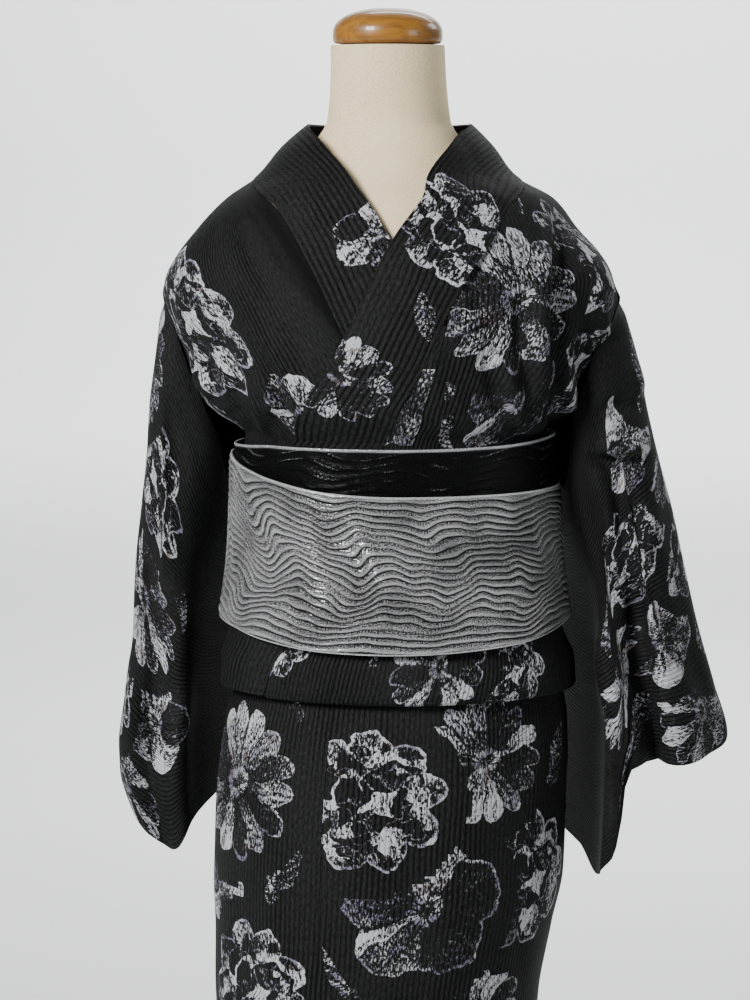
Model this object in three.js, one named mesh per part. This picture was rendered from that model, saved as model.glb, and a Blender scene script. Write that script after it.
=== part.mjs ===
// A kimono worn left over right with a narrow obi, on a limbless dress form. Millimetres, +Z up,
// origin on the floor under the pole, front towards -Y. Left and right are the wearer's, so left is +X.
// Angles run round the body from the middle of the front (0), over the left side (90) to the back (180).

import * as THREE from 'three';

// Cloth
const CLOTH = 1.2; // wall of one layer
const COLLAR = 2.4; // the collar is folded double
const OVER = 2.8; // the left front lies this far outside the right one
const SEAM_ANGLE = 0.15; // the gap of 0.3 mm between two sewn edges, as an angle on the body
const COLLAR_SEAM_ANGLE = 0.9; // the same along the collar's curved edge
const COLLAR_SEAM = 1.8;
const SLEEVE_GAP = 1.9; // from the body to the outside of a sleeve

// Waist fold, where the bodice turns up under the obi; the left front's fold goes round the right one's
const FOLD_Z = 895;
const FOLD_RADIUS = 3;
const OVER_FOLD_RADIUS = 5.6;
const UNDER_FOLD_RISE = 5;
const FOLD_RETURN = 26;

// Obi: two wraps, the outer one with wave ridges
const OBI_WRAP = 2;
const OBI_STEP = 3.1; // from the inner face of one wrap to that of the next
const OBI_WALL = 1.6; // outer wrap without its ridges
const OBI_RIDGES = 18;
const OBI_RIDGE_HEIGHT = 1.1;
const OBI_WAVES = 9;
const OBI_WAVE_RISE = 4.2;
const KNOT_GAP = 0.4;
const KNOT_WALL = 2.4;

// Dress form
const FORM_CLEARANCE = 1.4; // under the cloth that it carries; less where the facets of both meet
const FORM_HOLDS = { high: 1276, low: 1165 }; // heights between which the form fills the bodice
const BASE_RADIUS = 170;
const BASE_HEIGHT = 20;
const POLE_RADIUS = 13;
const SOCKET_RADIUS = 30;
const SOCKET_HEIGHT = 24;
const FORM_BOTTOM = 800;
const NECK_TOP = 1400;
const CAP_HEIGHT = 29;
const CAP_RADIUS = 43.5;
const TOUCH = 0.3;

// Rings of the worn torso, outside of the lower front: middle (x, y), half width and half depth.
const TORSO = [
  { z: 1342, x: -6, y: 24, halfWidth: 60, halfDepth: 66 },
  { z: 1320, x: -8, y: 19, halfWidth: 83, halfDepth: 77 },
  { z: 1299, x: -9, y: 14, halfWidth: 100, halfDepth: 85 },
  { z: 1280, x: -6, y: 8, halfWidth: 130, halfDepth: 92 },
  { z: 1257, x: -8, y: 4, halfWidth: 150, halfDepth: 99 },
  { z: 1237, x: -8, y: 1, halfWidth: 165, halfDepth: 104 },
  { z: 1216, x: -6, y: -1, halfWidth: 174, halfDepth: 107 },
  { z: 1182, x: -6, y: -3, halfWidth: 169, halfDepth: 110 },
  { z: 1150, x: -5, y: -4, halfWidth: 160, halfDepth: 111 },
  { z: 1121, x: -5, y: -5, halfWidth: 148, halfDepth: 109 },
  { z: 1111, x: -3, y: -6, halfWidth: 139, halfDepth: 105 },
  { z: 1103, x: -3, y: -7, halfWidth: 126, halfDepth: 100 },
  { z: 1096, x: -2, y: -8, halfWidth: 119, halfDepth: 97 },
  { z: 1040, x: -2, y: -8, halfWidth: 121, halfDepth: 98 },
  { z: 1000, x: -2, y: -8, halfWidth: 123, halfDepth: 99 },
  { z: 951, x: -2, y: -8, halfWidth: 130, halfDepth: 103 },
  { z: 934, x: -1, y: -7, halfWidth: 135, halfDepth: 107 },
  { z: 918, x: 0, y: -6, halfWidth: 141, halfDepth: 112 },
  { z: 895, x: 1, y: -6, halfWidth: 142, halfDepth: 113 },
];

// Rings of the skirt, outside of the upper front; it narrows to the hem and swings to the right foot.
const SKIRT = [
  { z: 985, x: -2, y: -8, halfWidth: 117, halfDepth: 93 },
  { z: 940, x: -1, y: -8, halfWidth: 122, halfDepth: 97 },
  { z: 905, x: 0, y: -6, halfWidth: 129, halfDepth: 102.1 },
  { z: 890, x: 0, y: -6, halfWidth: 132.5, halfDepth: 105.4 },
  { z: 868, x: -1, y: -6, halfWidth: 137, halfDepth: 110 },
  { z: 800, x: -5, y: -5, halfWidth: 141, halfDepth: 114 },
  { z: 745, x: -7, y: -4, halfWidth: 141, halfDepth: 114 },
  { z: 700, x: -11, y: -3, halfWidth: 136, halfDepth: 112 },
  { z: 640, x: -16, y: -2, halfWidth: 131, halfDepth: 109 },
  { z: 400, x: -17, y: 0, halfWidth: 121, halfDepth: 101 },
  { z: 45, x: -18, y: 0, halfWidth: 112, halfDepth: 93 },
];
const SKIRT_TOP = 985;
const HEM_Z = 45;
const HEM_RISE = 14; // the free corner of the upper front is drawn up
const SKIRT_UNDER = 3; // the right front lies this far inside the left one
const SKIRT_SEAMS = { okumiEdge: -86, okumi: -22.5, side: 81 };

// Rings that the sleeves lie against: the bodice, and below it everything at the waist.
const BESIDE = [
  ...TORSO.slice(0, 6),
  { z: 1216, x: -6, y: -2, halfWidth: 174, halfDepth: 112 },
  { z: 1182, x: -6, y: -3, halfWidth: 169, halfDepth: 115 },
  { z: 1150, x: -5, y: -4, halfWidth: 160, halfDepth: 117 },
  { z: 1121, x: -4, y: -5, halfWidth: 151, halfDepth: 118 },
  { z: 1085, x: -1, y: -5, halfWidth: 148, halfDepth: 118 },
  { z: 900, x: 0, y: -5, halfWidth: 150, halfDepth: 119 },
  { z: 730, x: 0, y: -5, halfWidth: 154, halfDepth: 120 },
];

// Inner face of the obi.
const OBI = [
  { z: 1100, x: -2, y: -8, halfWidth: 125.5, halfDepth: 104 },
  { z: 1040, x: -2, y: -8, halfWidth: 126.5, halfDepth: 104.5 },
  { z: 1000, x: -2, y: -8, halfWidth: 128.5, halfDepth: 105.5 },
  { z: 951, x: -2, y: -8, halfWidth: 135.5, halfDepth: 108.5 },
  { z: 930, x: -1, y: -8, halfWidth: 141, halfDepth: 114 },
];

// Edges of the obi round the body; the outer wrap climbs to the top edge on the right.
const OBI_EDGES = [
  { angle: -180, top: 1092, outerTop: 1078, bottom: 954 },
  { angle: -95, top: 1088, outerTop: 1081, bottom: 951 },
  { angle: -66, top: 1090, outerTop: 1073, bottom: 947 },
  { angle: -48, top: 1092, outerTop: 1066, bottom: 941 },
  { angle: -22, top: 1092, outerTop: 1058, bottom: 935 },
  { angle: 0, top: 1092, outerTop: 1056, bottom: 934 },
  { angle: 40, top: 1093, outerTop: 1056, bottom: 938 },
  { angle: 85, top: 1097, outerTop: 1057, bottom: 951 },
  { angle: 180, top: 1092, outerTop: 1078, bottom: 954 },
];

// Collar from its hidden end under the left front, up the right side, round the neck and down the left
// side. Each row pairs a point of the free edge with one of the sewn edge; out is its outer face.
const COLLAR_PATH = [
  { at: 0.03, freeAngle: 20, freeZ: 1142, sewnAngle: -4.5, sewnZ: 1124, out: 0.8 },
  { at: 0.1, freeAngle: 6.8, freeZ: 1210, sewnAngle: -13, sewnZ: 1182, out: 1.2 },
  { at: 0.15, freeAngle: 0, freeZ: 1254, sewnAngle: -20.6, sewnZ: 1230, out: 1.2 },
  { at: 0.2, freeAngle: -12.8, freeZ: 1292, sewnAngle: -32, sewnZ: 1262, out: 1.2 },
  { at: 0.24, freeAngle: -29, freeZ: 1315, sewnAngle: -46, sewnZ: 1280, out: 1.2 },
  { at: 0.28, freeAngle: -54, freeZ: 1331, sewnAngle: -70, sewnZ: 1291, out: 1.2 },
  { at: 0.33, freeAngle: -90, freeZ: 1338, sewnAngle: -95, sewnZ: 1297, out: 1.2 },
  { at: 0.39, freeAngle: -135, freeZ: 1337, sewnAngle: -135, sewnZ: 1288, out: 1.2 },
  { at: 0.45, freeAngle: -180, freeZ: 1335, sewnAngle: -180, sewnZ: 1282, out: 1.2 },
  { at: 0.51, freeAngle: -225, freeZ: 1337, sewnAngle: -225, sewnZ: 1288, out: 1.2 },
  { at: 0.57, freeAngle: -270, freeZ: 1338, sewnAngle: -265, sewnZ: 1297, out: 1.4 },
  { at: 0.62, freeAngle: -308, freeZ: 1332, sewnAngle: -290, sewnZ: 1291, out: 2 },
  { at: 0.66, freeAngle: -332, freeZ: 1314, sewnAngle: -318, sewnZ: 1275, out: 3 },
  { at: 0.7, freeAngle: -345.9, freeZ: 1290, sewnAngle: -328.8, sewnZ: 1251, out: 4 },
  { at: 0.75, freeAngle: -358.8, freeZ: 1250, sewnAngle: -341.3, sewnZ: 1218, out: 4 },
  { at: 0.8, freeAngle: -365.4, freeZ: 1216, sewnAngle: -347, sewnZ: 1186, out: 4 },
  { at: 0.85, freeAngle: -371.8, freeZ: 1179, sewnAngle: -352.3, sewnZ: 1151, out: 4 },
  { at: 0.9, freeAngle: -386, freeZ: 1127, sewnAngle: -363.5, sewnZ: 1099, out: 4 },
  { at: 0.94, freeAngle: -409, freeZ: 1072, sewnAngle: -376, sewnZ: 1046, out: 4 },
  { at: 0.97, freeAngle: -427, freeZ: 975, sewnAngle: -396.3, sewnZ: 951, out: 4 },
  { at: 1.0, freeAngle: -437, freeZ: 898, sewnAngle: -407, sewnZ: 898, out: 4 },
];

// Rows of the collar's sewn edge on the right front, round the back of the neck and on the left front.
const RIGHT_COLLAR = [0, 6];
const NECK_COLLAR = [5, 12];
const LEFT_COLLAR = [10, 20];

// Seam between the left front and its okumi, from the collar to the waist fold.
const FRONT_EDGE_Z = 1186;
const OKUMI_SEAM = [
  { z: FRONT_EDGE_Z, angle: 14.4 },
  { z: 1134, angle: 10 },
  { z: 1095, angle: 6.3 },
  { z: 931, angle: -18.7 },
  { z: 896, angle: -22.5 },
];

// Heights of the rows of a bodice panel; the rows above LEVEL_Z are drawn to the panel's own top edge.
const BODICE_TOP = 1299;
const LEVEL_Z = 1166;
const BODICE_ROWS = [1299, 1288, 1276, 1264, 1251, 1237, 1223, 1205, 1186, 1166, 1148, 1130, 1119, 1110, 1102,
  1095, 1040, 985, 951, 934, 920];
const OKUMI_ROW = 8; // the row at which the okumi starts

// Sleeves hang straight down from the shoulder, as there is no arm in them. A turn runs round the tube:
// 0 is the outer fold, -90 the front, 180 beside the body. reach is the distance from the middle plane, and
// set how far the sewn end is set in towards the body.
const SLEEVE_TOP = { middle: 1135, swing: 87 };
const SLEEVE_OPENS = 0.3; // share of the length over which the tube leaves the body
const SLEEVES = [
  {
    name: 'sleeve_right',
    side: -1,
    midY: 36,
    halfDepth: 60,
    set: 7.6,
    outline: [
      { z: 1226, reach: 181 },
      { z: 1182, reach: 185 },
      { z: 1114, reach: 194 },
      { z: 1077, reach: 197 },
      { z: 988, reach: 207.5 },
      { z: 923, reach: 210 },
      { z: 892, reach: 213.5 },
      { z: 845, reach: 222 },
      { z: 822, reach: 221 },
      { z: 790, reach: 211 },
      { z: 760, reach: 199 },
    ],
    cuff: [
      { turn: -180, z: 800 },
      { turn: -128, z: 784 },
      { turn: -88, z: 761 },
      { turn: -58, z: 772 },
      { turn: -34, z: 805 },
      { turn: -16, z: 850 },
      { turn: 0, z: 892 },
      { turn: 18, z: 842 },
      { turn: 44, z: 802 },
      { turn: 90, z: 772 },
      { turn: 135, z: 786 },
      { turn: 180, z: 800 },
    ],
    folds: [
      { turn: -112, width: 20, top: 0, bottom: 0.08 },
      { turn: -78, width: 15, top: -0.03, bottom: -0.16 },
      { turn: -48, width: 14, top: 0, bottom: 0.1 },
      { turn: -22, width: 11, top: -0.02, bottom: -0.08 },
      { turn: 40, width: 15, top: -0.03, bottom: -0.2 },
      { turn: 78, width: 16, top: 0, bottom: 0.1 },
      { turn: 118, width: 16, top: -0.02, bottom: -0.14 },
    ],
  },
  {
    name: 'sleeve_left',
    side: 1,
    midY: 22,
    halfDepth: 76,
    set: 9.1,
    outline: [
      { z: 1226, reach: 170 },
      { z: 1197, reach: 176 },
      { z: 1151, reach: 189 },
      { z: 1123, reach: 194 },
      { z: 1077, reach: 205 },
      { z: 1031, reach: 218 },
      { z: 993, reach: 226.5 },
      { z: 944, reach: 238 },
      { z: 892, reach: 253 },
      { z: 849, reach: 264.5 },
      { z: 790, reach: 258 },
      { z: 735, reach: 240 },
    ],
    cuff: [
      { turn: -180, z: 756 },
      { turn: -150, z: 741 },
      { turn: -122, z: 757 },
      { turn: -100, z: 780 },
      { turn: -84, z: 812 },
      { turn: -66, z: 830 },
      { turn: -38, z: 837 },
      { turn: -14, z: 850 },
      { turn: 0, z: 890 },
      { turn: 16, z: 846 },
      { turn: 60, z: 806 },
      { turn: 110, z: 772 },
      { turn: 180, z: 756 },
    ],
    folds: [
      { turn: -122, width: 15, top: 0, bottom: 0.14 },
      { turn: -92, width: 13, top: -0.06, bottom: -0.3 },
      { turn: -64, width: 12, top: 0.02, bottom: 0.08 },
      { turn: -40, width: 12, top: 0, bottom: -0.07 },
      { turn: 36, width: 15, top: 0, bottom: -0.2 },
      { turn: 74, width: 15, top: 0, bottom: 0.1 },
      { turn: 112, width: 16, top: -0.03, bottom: -0.18 },
    ],
  },
];

// Rings of the dress form where it stands free of the cloth.
const FORM = [
  { z: 1400, x: -8, y: 12, halfWidth: 45, halfDepth: 46 },
  { z: 1380, x: -7.5, y: 14, halfWidth: 45.5, halfDepth: 47 },
  { z: 1341, x: -7, y: 20, halfWidth: 49, halfDepth: 51 },
  { z: 1325, x: -7, y: 21, halfWidth: 59, halfDepth: 57 },
  { z: 1309, x: -7, y: 18, halfWidth: 78, halfDepth: 67 },
  { z: 1295, x: -7, y: 13, halfWidth: 97, halfDepth: 76 },
  { z: 1125, x: -4, y: -5, halfWidth: 141, halfDepth: 102 },
  { z: 1090, x: -2, y: -7, halfWidth: 112, halfDepth: 90 },
  { z: 1010, x: -1, y: -7, halfWidth: 104, halfDepth: 84 },
  { z: 900, x: 0, y: -5, halfWidth: 116, halfDepth: 90 },
  { z: 850, x: 0, y: -3, halfWidth: 110, halfDepth: 86 },
  { z: 815, x: 0, y: -1, halfWidth: 88, halfDepth: 72 },
  { z: 800, x: 0, y: 0, halfWidth: 62, halfDepth: 56 },
];
const FORM_ROWS = [1400, 1380, 1358, 1341, 1325, 1309, 1295, 1276, 1264, 1251, 1237, 1223, 1205, 1186, 1166,
  1125, 1090, 1050, 1010, 950, 900, 850, 815, 800];

const { clamp, degToRad, lerp, smoothstep } = THREE.MathUtils;

function slopeAt(table, axis, key, i) {
  const rise = (j) => (table[j + 1][key] - table[j][key]) / (table[j + 1][axis] - table[j][axis]);
  if (i === 0) return rise(0);
  if (i === table.length - 1) return rise(i - 1);
  const before = rise(i - 1);
  const after = rise(i);
  return before * after > 0 ? (2 * before * after) / (before + after) : 0;
}

// A column of a table as a smooth curve that doesn't overshoot its rows.
function read(table, axis, key, at) {
  const rising = table[1][axis] > table[0][axis];
  let i = 0;
  while (i < table.length - 2 && (rising ? at > table[i + 1][axis] : at < table[i + 1][axis])) i += 1;
  const here = table[i];
  const next = table[i + 1];
  const span = next[axis] - here[axis];
  const t = clamp((at - here[axis]) / span, 0, 1);
  const start = slopeAt(table, axis, key, i) * span;
  const end = slopeAt(table, axis, key, i + 1) * span;
  const fromHere = here[key] * (1 + 2 * t) * (1 - t) ** 2 + start * t * (1 - t) ** 2;
  const fromNext = next[key] * t * t * (3 - 2 * t) + end * t * t * (t - 1);
  return fromHere + fromNext;
}

function ringPoint(table, angle, z) {
  const turn = degToRad(angle);
  const x = read(table, 'z', 'x', z) + read(table, 'z', 'halfWidth', z) * Math.sin(turn);
  const y = read(table, 'z', 'y', z) - read(table, 'z', 'halfDepth', z) * Math.cos(turn);
  return new THREE.Vector3(x, y, z);
}

// A point of the surface through the rings, moved out along its normal.
function onRings(table, angle, z, out) {
  const around = ringPoint(table, angle + 0.5, z).sub(ringPoint(table, angle - 0.5, z));
  const up = ringPoint(table, angle, z + 1).sub(ringPoint(table, angle, z - 1));
  const normal = around.cross(up).normalize();
  return ringPoint(table, angle, z).addScaledVector(normal, out);
}

function faceOut(geometry) {
  const solid = geometry.index ? geometry.toNonIndexed() : geometry;
  const place = solid.getAttribute('position');
  const [a, b, c] = [new THREE.Vector3(), new THREE.Vector3(), new THREE.Vector3()];
  let volume = 0;
  for (let i = 0; i < place.count; i += 3) {
    a.fromBufferAttribute(place, i);
    b.fromBufferAttribute(place, i + 1);
    c.fromBufferAttribute(place, i + 2);
    volume += a.dot(b.cross(c));
  }
  if (volume > 0) return geometry;
  const corners = geometry.getIndex();
  for (let i = 0; i < corners.count; i += 3) {
    const first = corners.getX(i);
    corners.setX(i, corners.getX(i + 2));
    corners.setX(i + 2, first);
  }
  return geometry;
}

function fromFaces(points, corners) {
  const geometry = new THREE.BufferGeometry().setFromPoints(points);
  geometry.setIndex(corners);
  faceOut(geometry);
  geometry.computeVertexNormals();
  return geometry;
}

// A closed wall between two surfaces over the same grid. A ring is closed in u, and its inside may have
// fewer rows than its outside.
function wall({ columns, rows, outer, inner, ring = false, innerRows = rows }) {
  const points = [];
  const corners = [];
  const across = ring ? columns : columns + 1;
  function grid(surface, count) {
    const start = points.length;
    for (let r = 0; r <= count; r += 1) {
      for (let c = 0; c < across; c += 1) points.push(surface(c / columns, r / count));
    }
    return (r, c) => start + r * across + (c % across);
  }
  const quad = (a, b, c, d) => corners.push(a, b, c, a, c, d);
  const out = grid(outer, rows);
  const back = grid(inner, innerRows);
  for (let c = 0; c < columns; c += 1) {
    for (let r = 0; r < rows; r += 1) quad(out(r, c), out(r, c + 1), out(r + 1, c + 1), out(r + 1, c));
    for (let r = 0; r < innerRows; r += 1) {
      quad(back(r, c), back(r + 1, c), back(r + 1, c + 1), back(r, c + 1));
    }
    quad(out(0, c + 1), out(0, c), back(0, c), back(0, c + 1));
    quad(out(rows, c), out(rows, c + 1), back(innerRows, c + 1), back(innerRows, c));
  }
  for (let r = 0; r < rows && !ring; r += 1) {
    quad(out(r, 0), out(r + 1, 0), back(r + 1, 0), back(r, 0));
    quad(out(r + 1, columns), out(r, columns), back(r, columns), back(r + 1, columns));
  }
  return fromFaces(points, corners);
}

// A solid through rings, closed by a flat fan at each end.
function loft(columns, rings) {
  const points = [];
  const corners = [];
  rings.forEach((ring) => {
    for (let c = 0; c < columns; c += 1) points.push(ring((360 * c) / columns));
  });
  const at = (r, c) => r * columns + (c % columns);
  const last = rings.length - 1;
  const middles = [0, last].map((r) => {
    const middle = new THREE.Vector3();
    for (let c = 0; c < columns; c += 1) middle.addScaledVector(points[at(r, c)], 1 / columns);
    return points.push(middle) - 1;
  });
  for (let c = 0; c < columns; c += 1) {
    for (let r = 0; r < last; r += 1) {
      corners.push(at(r, c), at(r, c + 1), at(r + 1, c + 1), at(r, c), at(r + 1, c + 1), at(r + 1, c));
    }
    corners.push(middles[0], at(0, c + 1), at(0, c), middles[1], at(last, c), at(last, c + 1));
  }
  return fromFaces(points, corners);
}

function turned(profile, segments = 28) {
  const geometry = new THREE.LatheGeometry(profile.map(([r, z]) => new THREE.Vector2(r, z)), segments);
  geometry.rotateX(Math.PI / 2);
  return faceOut(geometry);
}

const cloth = new THREE.MeshStandardMaterial({ color: 0x232224, roughness: 0.85, metalness: 0 });
const silver = new THREE.MeshStandardMaterial({ color: 0x9b9b9f, roughness: 0.42, metalness: 0.8 });
const black = new THREE.MeshStandardMaterial({ color: 0x161618, roughness: 0.8, metalness: 0 });
const cover = new THREE.MeshStandardMaterial({ color: 0xe8dcc4, roughness: 0.8, metalness: 0 });
const wood = new THREE.MeshStandardMaterial({ color: 0xb07a35, roughness: 0.3, metalness: 0 });
const steel = new THREE.MeshStandardMaterial({ color: 0x2c2c2e, roughness: 0.45, metalness: 0.7 });

const kimono = new THREE.Group();

function add(name, geometry, material) {
  const mesh = new THREE.Mesh(geometry, material);
  mesh.name = name;
  kimono.add(mesh);
  return mesh;
}

// The left front is raised over the right one and comes down to the shoulder line and side seam.
function leftLift(angle) {
  return OVER * smoothstep(80 - angle, 0, 30);
}

// A column of the collar's table where another one has a value, on one stretch of the collar.
function collarWhere([first, last], known, value, wanted) {
  const rising = COLLAR_PATH[last][known] > COLLAR_PATH[first][known];
  let [low, high] = [COLLAR_PATH[first].at, COLLAR_PATH[last].at];
  for (let i = 0; i < 24; i += 1) {
    const middle = (low + high) / 2;
    if (read(COLLAR_PATH, 'at', known, middle) > value === rising) high = middle;
    else low = middle;
  }
  return read(COLLAR_PATH, 'at', wanted, low);
}
const sewnAngle = (stretch, z) => collarWhere(stretch, 'sewnZ', z, 'sewnAngle');
const sewnHeight = (stretch, angle) => collarWhere(stretch, 'sewnAngle', angle, 'sewnZ') - COLLAR_SEAM;

// Height of a row of a bodice panel and how far its wall lies inside the panel: down the panel, round the
// waist fold and up behind it. depth is 0 on the outer face of the cloth and CLOTH on the inner one.
const TURN_STEPS = 3;
function bodiceRow(row, { top, radius, foldZ, depth }) {
  if (row < BODICE_ROWS.length) {
    const z = BODICE_ROWS[row];
    const drawn = (top - LEVEL_Z) / (BODICE_TOP - LEVEL_Z);
    return { z: z > LEVEL_Z ? LEVEL_Z + (z - LEVEL_Z) * drawn : z, sunk: depth };
  }
  const step = row - BODICE_ROWS.length;
  const middle = foldZ + radius;
  if (step > TURN_STEPS) return { z: middle + FOLD_RETURN, sunk: 2 * radius - depth };
  const turn = (Math.PI * step) / TURN_STEPS;
  return { z: middle - (radius - depth) * Math.sin(turn), sunk: radius - (radius - depth) * Math.cos(turn) };
}

// from and to give the panel's two edges as angles at a height, top its upper end at a share u.
function bodicePanel(name, panel) {
  const { columns, from, to, top, lift, radius = () => FOLD_RADIUS, foldZ = FOLD_Z, firstRow = 0 } = panel;
  const rows = BODICE_ROWS.length + TURN_STEPS + 1 - firstRow;
  const surface = (depth) => (u, v) => {
    const row = firstRow + Math.round(v * rows);
    const shape = { top: top(u), foldZ, depth };
    const height = Math.max(bodiceRow(row, { ...shape, radius: FOLD_RADIUS }).z, FOLD_Z);
    const angle = lerp(from(height), to(height), u);
    const { z, sunk } = bodiceRow(row, { ...shape, radius: radius(angle) });
    return onRings(TORSO, angle, z, lift(angle) - sunk);
  };
  add(name, wall({ columns, rows, outer: surface(0), inner: surface(CLOTH) }), cloth);
}

const overRadius = (angle) => lerp(FOLD_RADIUS, OVER_FOLD_RADIUS, leftLift(angle) / OVER);
const rightEdge = (z) => sewnAngle(RIGHT_COLLAR, Math.min(z, FRONT_EDGE_Z)) - COLLAR_SEAM_ANGLE;
const leftEdge = (z) => read(OKUMI_SEAM, 'z', 'angle', z) + SEAM_ANGLE / 2;
const rightSide = -90 + SEAM_ANGLE / 2;
const leftSide = 90 - SEAM_ANGLE / 2;
bodicePanel('bodice_front_right', {
  columns: 8,
  from: () => rightSide,
  to: rightEdge,
  top: (u) => sewnHeight(RIGHT_COLLAR, lerp(rightSide, rightEdge(FRONT_EDGE_Z), u)),
  lift: () => 0,
  foldZ: FOLD_Z + UNDER_FOLD_RISE,
});
bodicePanel('bodice_front_left', {
  columns: 8,
  from: leftEdge,
  to: () => leftSide,
  top: (u) => sewnHeight(LEFT_COLLAR, lerp(leftEdge(FRONT_EDGE_Z), leftSide, u) - 360),
  lift: leftLift,
  radius: overRadius,
});
bodicePanel('okumi_left_upper', {
  columns: 3,
  from: (z) => sewnAngle(LEFT_COLLAR, z) + 360 + COLLAR_SEAM_ANGLE,
  to: (z) => read(OKUMI_SEAM, 'z', 'angle', z) - SEAM_ANGLE / 2,
  top: () => BODICE_TOP,
  lift: leftLift,
  radius: overRadius,
  firstRow: OKUMI_ROW,
});
[
  { name: 'bodice_back_left', start: 90 },
  { name: 'bodice_back_right', start: 180 },
].forEach(({ name, start }) => {
  const from = start + SEAM_ANGLE / 2;
  const to = start + 90 - SEAM_ANGLE / 2;
  bodicePanel(name, {
    columns: 8,
    from: () => from,
    to: () => to,
    top: (u) => sewnHeight(NECK_COLLAR, lerp(from, to, u) - 360),
    lift: () => 0,
  });
});

function collarSurface(depth) {
  return (u, v) => {
    const at = lerp(COLLAR_PATH[0].at, 1, u);
    const column = (key) => read(COLLAR_PATH, 'at', key, at);
    const angle = lerp(column('freeAngle'), column('sewnAngle'), v);
    const z = lerp(column('freeZ'), column('sewnZ'), v);
    return onRings(TORSO, angle, z, column('out') - depth);
  };
}
add('collar', wall({ columns: 84, rows: 3, outer: collarSurface(0), inner: collarSurface(COLLAR) }), cloth);

// Skirt panels hang from under the obi. out gives a panel's outer face inside the upper front's.
function skirtPanel(name, { from, to, out, hem = () => HEM_Z }) {
  const heights = (u) => [SKIRT_TOP, 950, 925, 905, 868, 820, 760, 700, 640, 500, 300, hem(u)];
  const rows = heights(0).length - 1;
  const surface = (depth) => (u, v) => {
    const angle = lerp(from, to, u);
    return onRings(SKIRT, angle, heights(u)[Math.round(v * rows)], out(angle) - depth);
  };
  add(name, wall({ columns: 6, rows, outer: surface(0), inner: surface(CLOTH) }), cloth);
}

const { okumiEdge, okumi, side: sideSeam } = SKIRT_SEAMS;
const halfGap = SEAM_ANGLE / 2;
const backOut = (angle) => (-SKIRT_UNDER * (angle - sideSeam)) / (360 - 2 * sideSeam);
skirtPanel('okumi_left_skirt', {
  from: okumiEdge,
  to: okumi - halfGap,
  out: () => 0,
  hem: (u) => HEM_Z + HEM_RISE * (1 - u) ** 2,
});
skirtPanel('skirt_front_left', { from: okumi + halfGap, to: sideSeam - halfGap, out: () => 0 });
skirtPanel('skirt_back_left', { from: sideSeam + halfGap, to: 180 - halfGap, out: backOut });
skirtPanel('skirt_back_right', { from: 180 + halfGap, to: 360 - sideSeam - halfGap, out: backOut });
skirtPanel('skirt_front_right', { from: -sideSeam + halfGap, to: -okumi - halfGap, out: () => -SKIRT_UNDER });
skirtPanel('okumi_right_skirt', { from: -okumi + halfGap, to: sideSeam - 1, out: () => -SKIRT_UNDER });

// Distance from the middle plane to the side of what a sleeve lies against; a parabola touches the rings
// at the side and leaves them towards the front and back.
function besideReach(side, y, z) {
  const fromMiddle = (y - read(BESIDE, 'z', 'y', z)) / read(BESIDE, 'z', 'halfDepth', z);
  return read(BESIDE, 'z', 'halfWidth', z) * (1 - fromMiddle ** 2 / 2) + side * read(BESIDE, 'z', 'x', z);
}

function sleevePoint({ side, midY, halfDepth, set, outline, cuff, folds }, turn, share) {
  const across = degToRad(turn);
  const top = SLEEVE_TOP.middle + SLEEVE_TOP.swing * Math.cos(across);
  const z = lerp(top, read(cuff, 'turn', 'z', turn), share);
  const bulge = (fold) => {
    const apart = (turn - fold.turn) / fold.width;
    return lerp(fold.top, fold.bottom, share) * Math.exp(-(apart ** 2));
  };
  const swell = folds.reduce((sum, fold) => sum + bulge(fold), 1);
  const open = lerp(smoothstep(share, -0.14, SLEEVE_OPENS), 1, Math.max(0, Math.cos(across)) ** 2);
  const y = midY + halfDepth * lerp(0.75, 1, open) * swell * Math.sin(across);
  const gap = SLEEVE_GAP - set * (1 - smoothstep(share, 0, SLEEVE_OPENS));
  const width = read(outline, 'z', 'reach', z) - besideReach(side, midY, z) - gap;
  const outward = (width * open * Math.max(0, 1 + swell * Math.cos(across))) / 2;
  return new THREE.Vector3(side * (besideReach(side, y, z) + gap + outward), y, z);
}

SLEEVES.forEach((sleeve) => {
  const outer = (u, v) => sleevePoint(sleeve, 360 * u - 180, v);
  const inner = (u, v) => {
    const turn = 360 * u - 180;
    const around = sleevePoint(sleeve, turn + 0.5, v).sub(sleevePoint(sleeve, turn - 0.5, v));
    const down = sleevePoint(sleeve, turn, v + 0.01).sub(sleevePoint(sleeve, turn, v - 0.01));
    const inward = around.cross(down).normalize().multiplyScalar(sleeve.side);
    return outer(u, v).addScaledVector(inward, CLOTH);
  };
  add(sleeve.name, wall({ columns: 32, rows: 10, outer, inner, ring: true }), cloth);
});

const obiEdge = (key, angle) => read(OBI_EDGES, 'angle', key, angle);
const around = (u) => 360 * u - 180;
function obiWrap(key, out) {
  return (u, v) => {
    const angle = around(u);
    return onRings(OBI, angle, lerp(obiEdge(key, angle), obiEdge('bottom', angle), v), out);
  };
}
add('obi_inner_wrap', wall({
  columns: 40, rows: 6, ring: true, outer: obiWrap('top', OBI_WRAP), inner: obiWrap('top', 0),
}), black);

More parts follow.
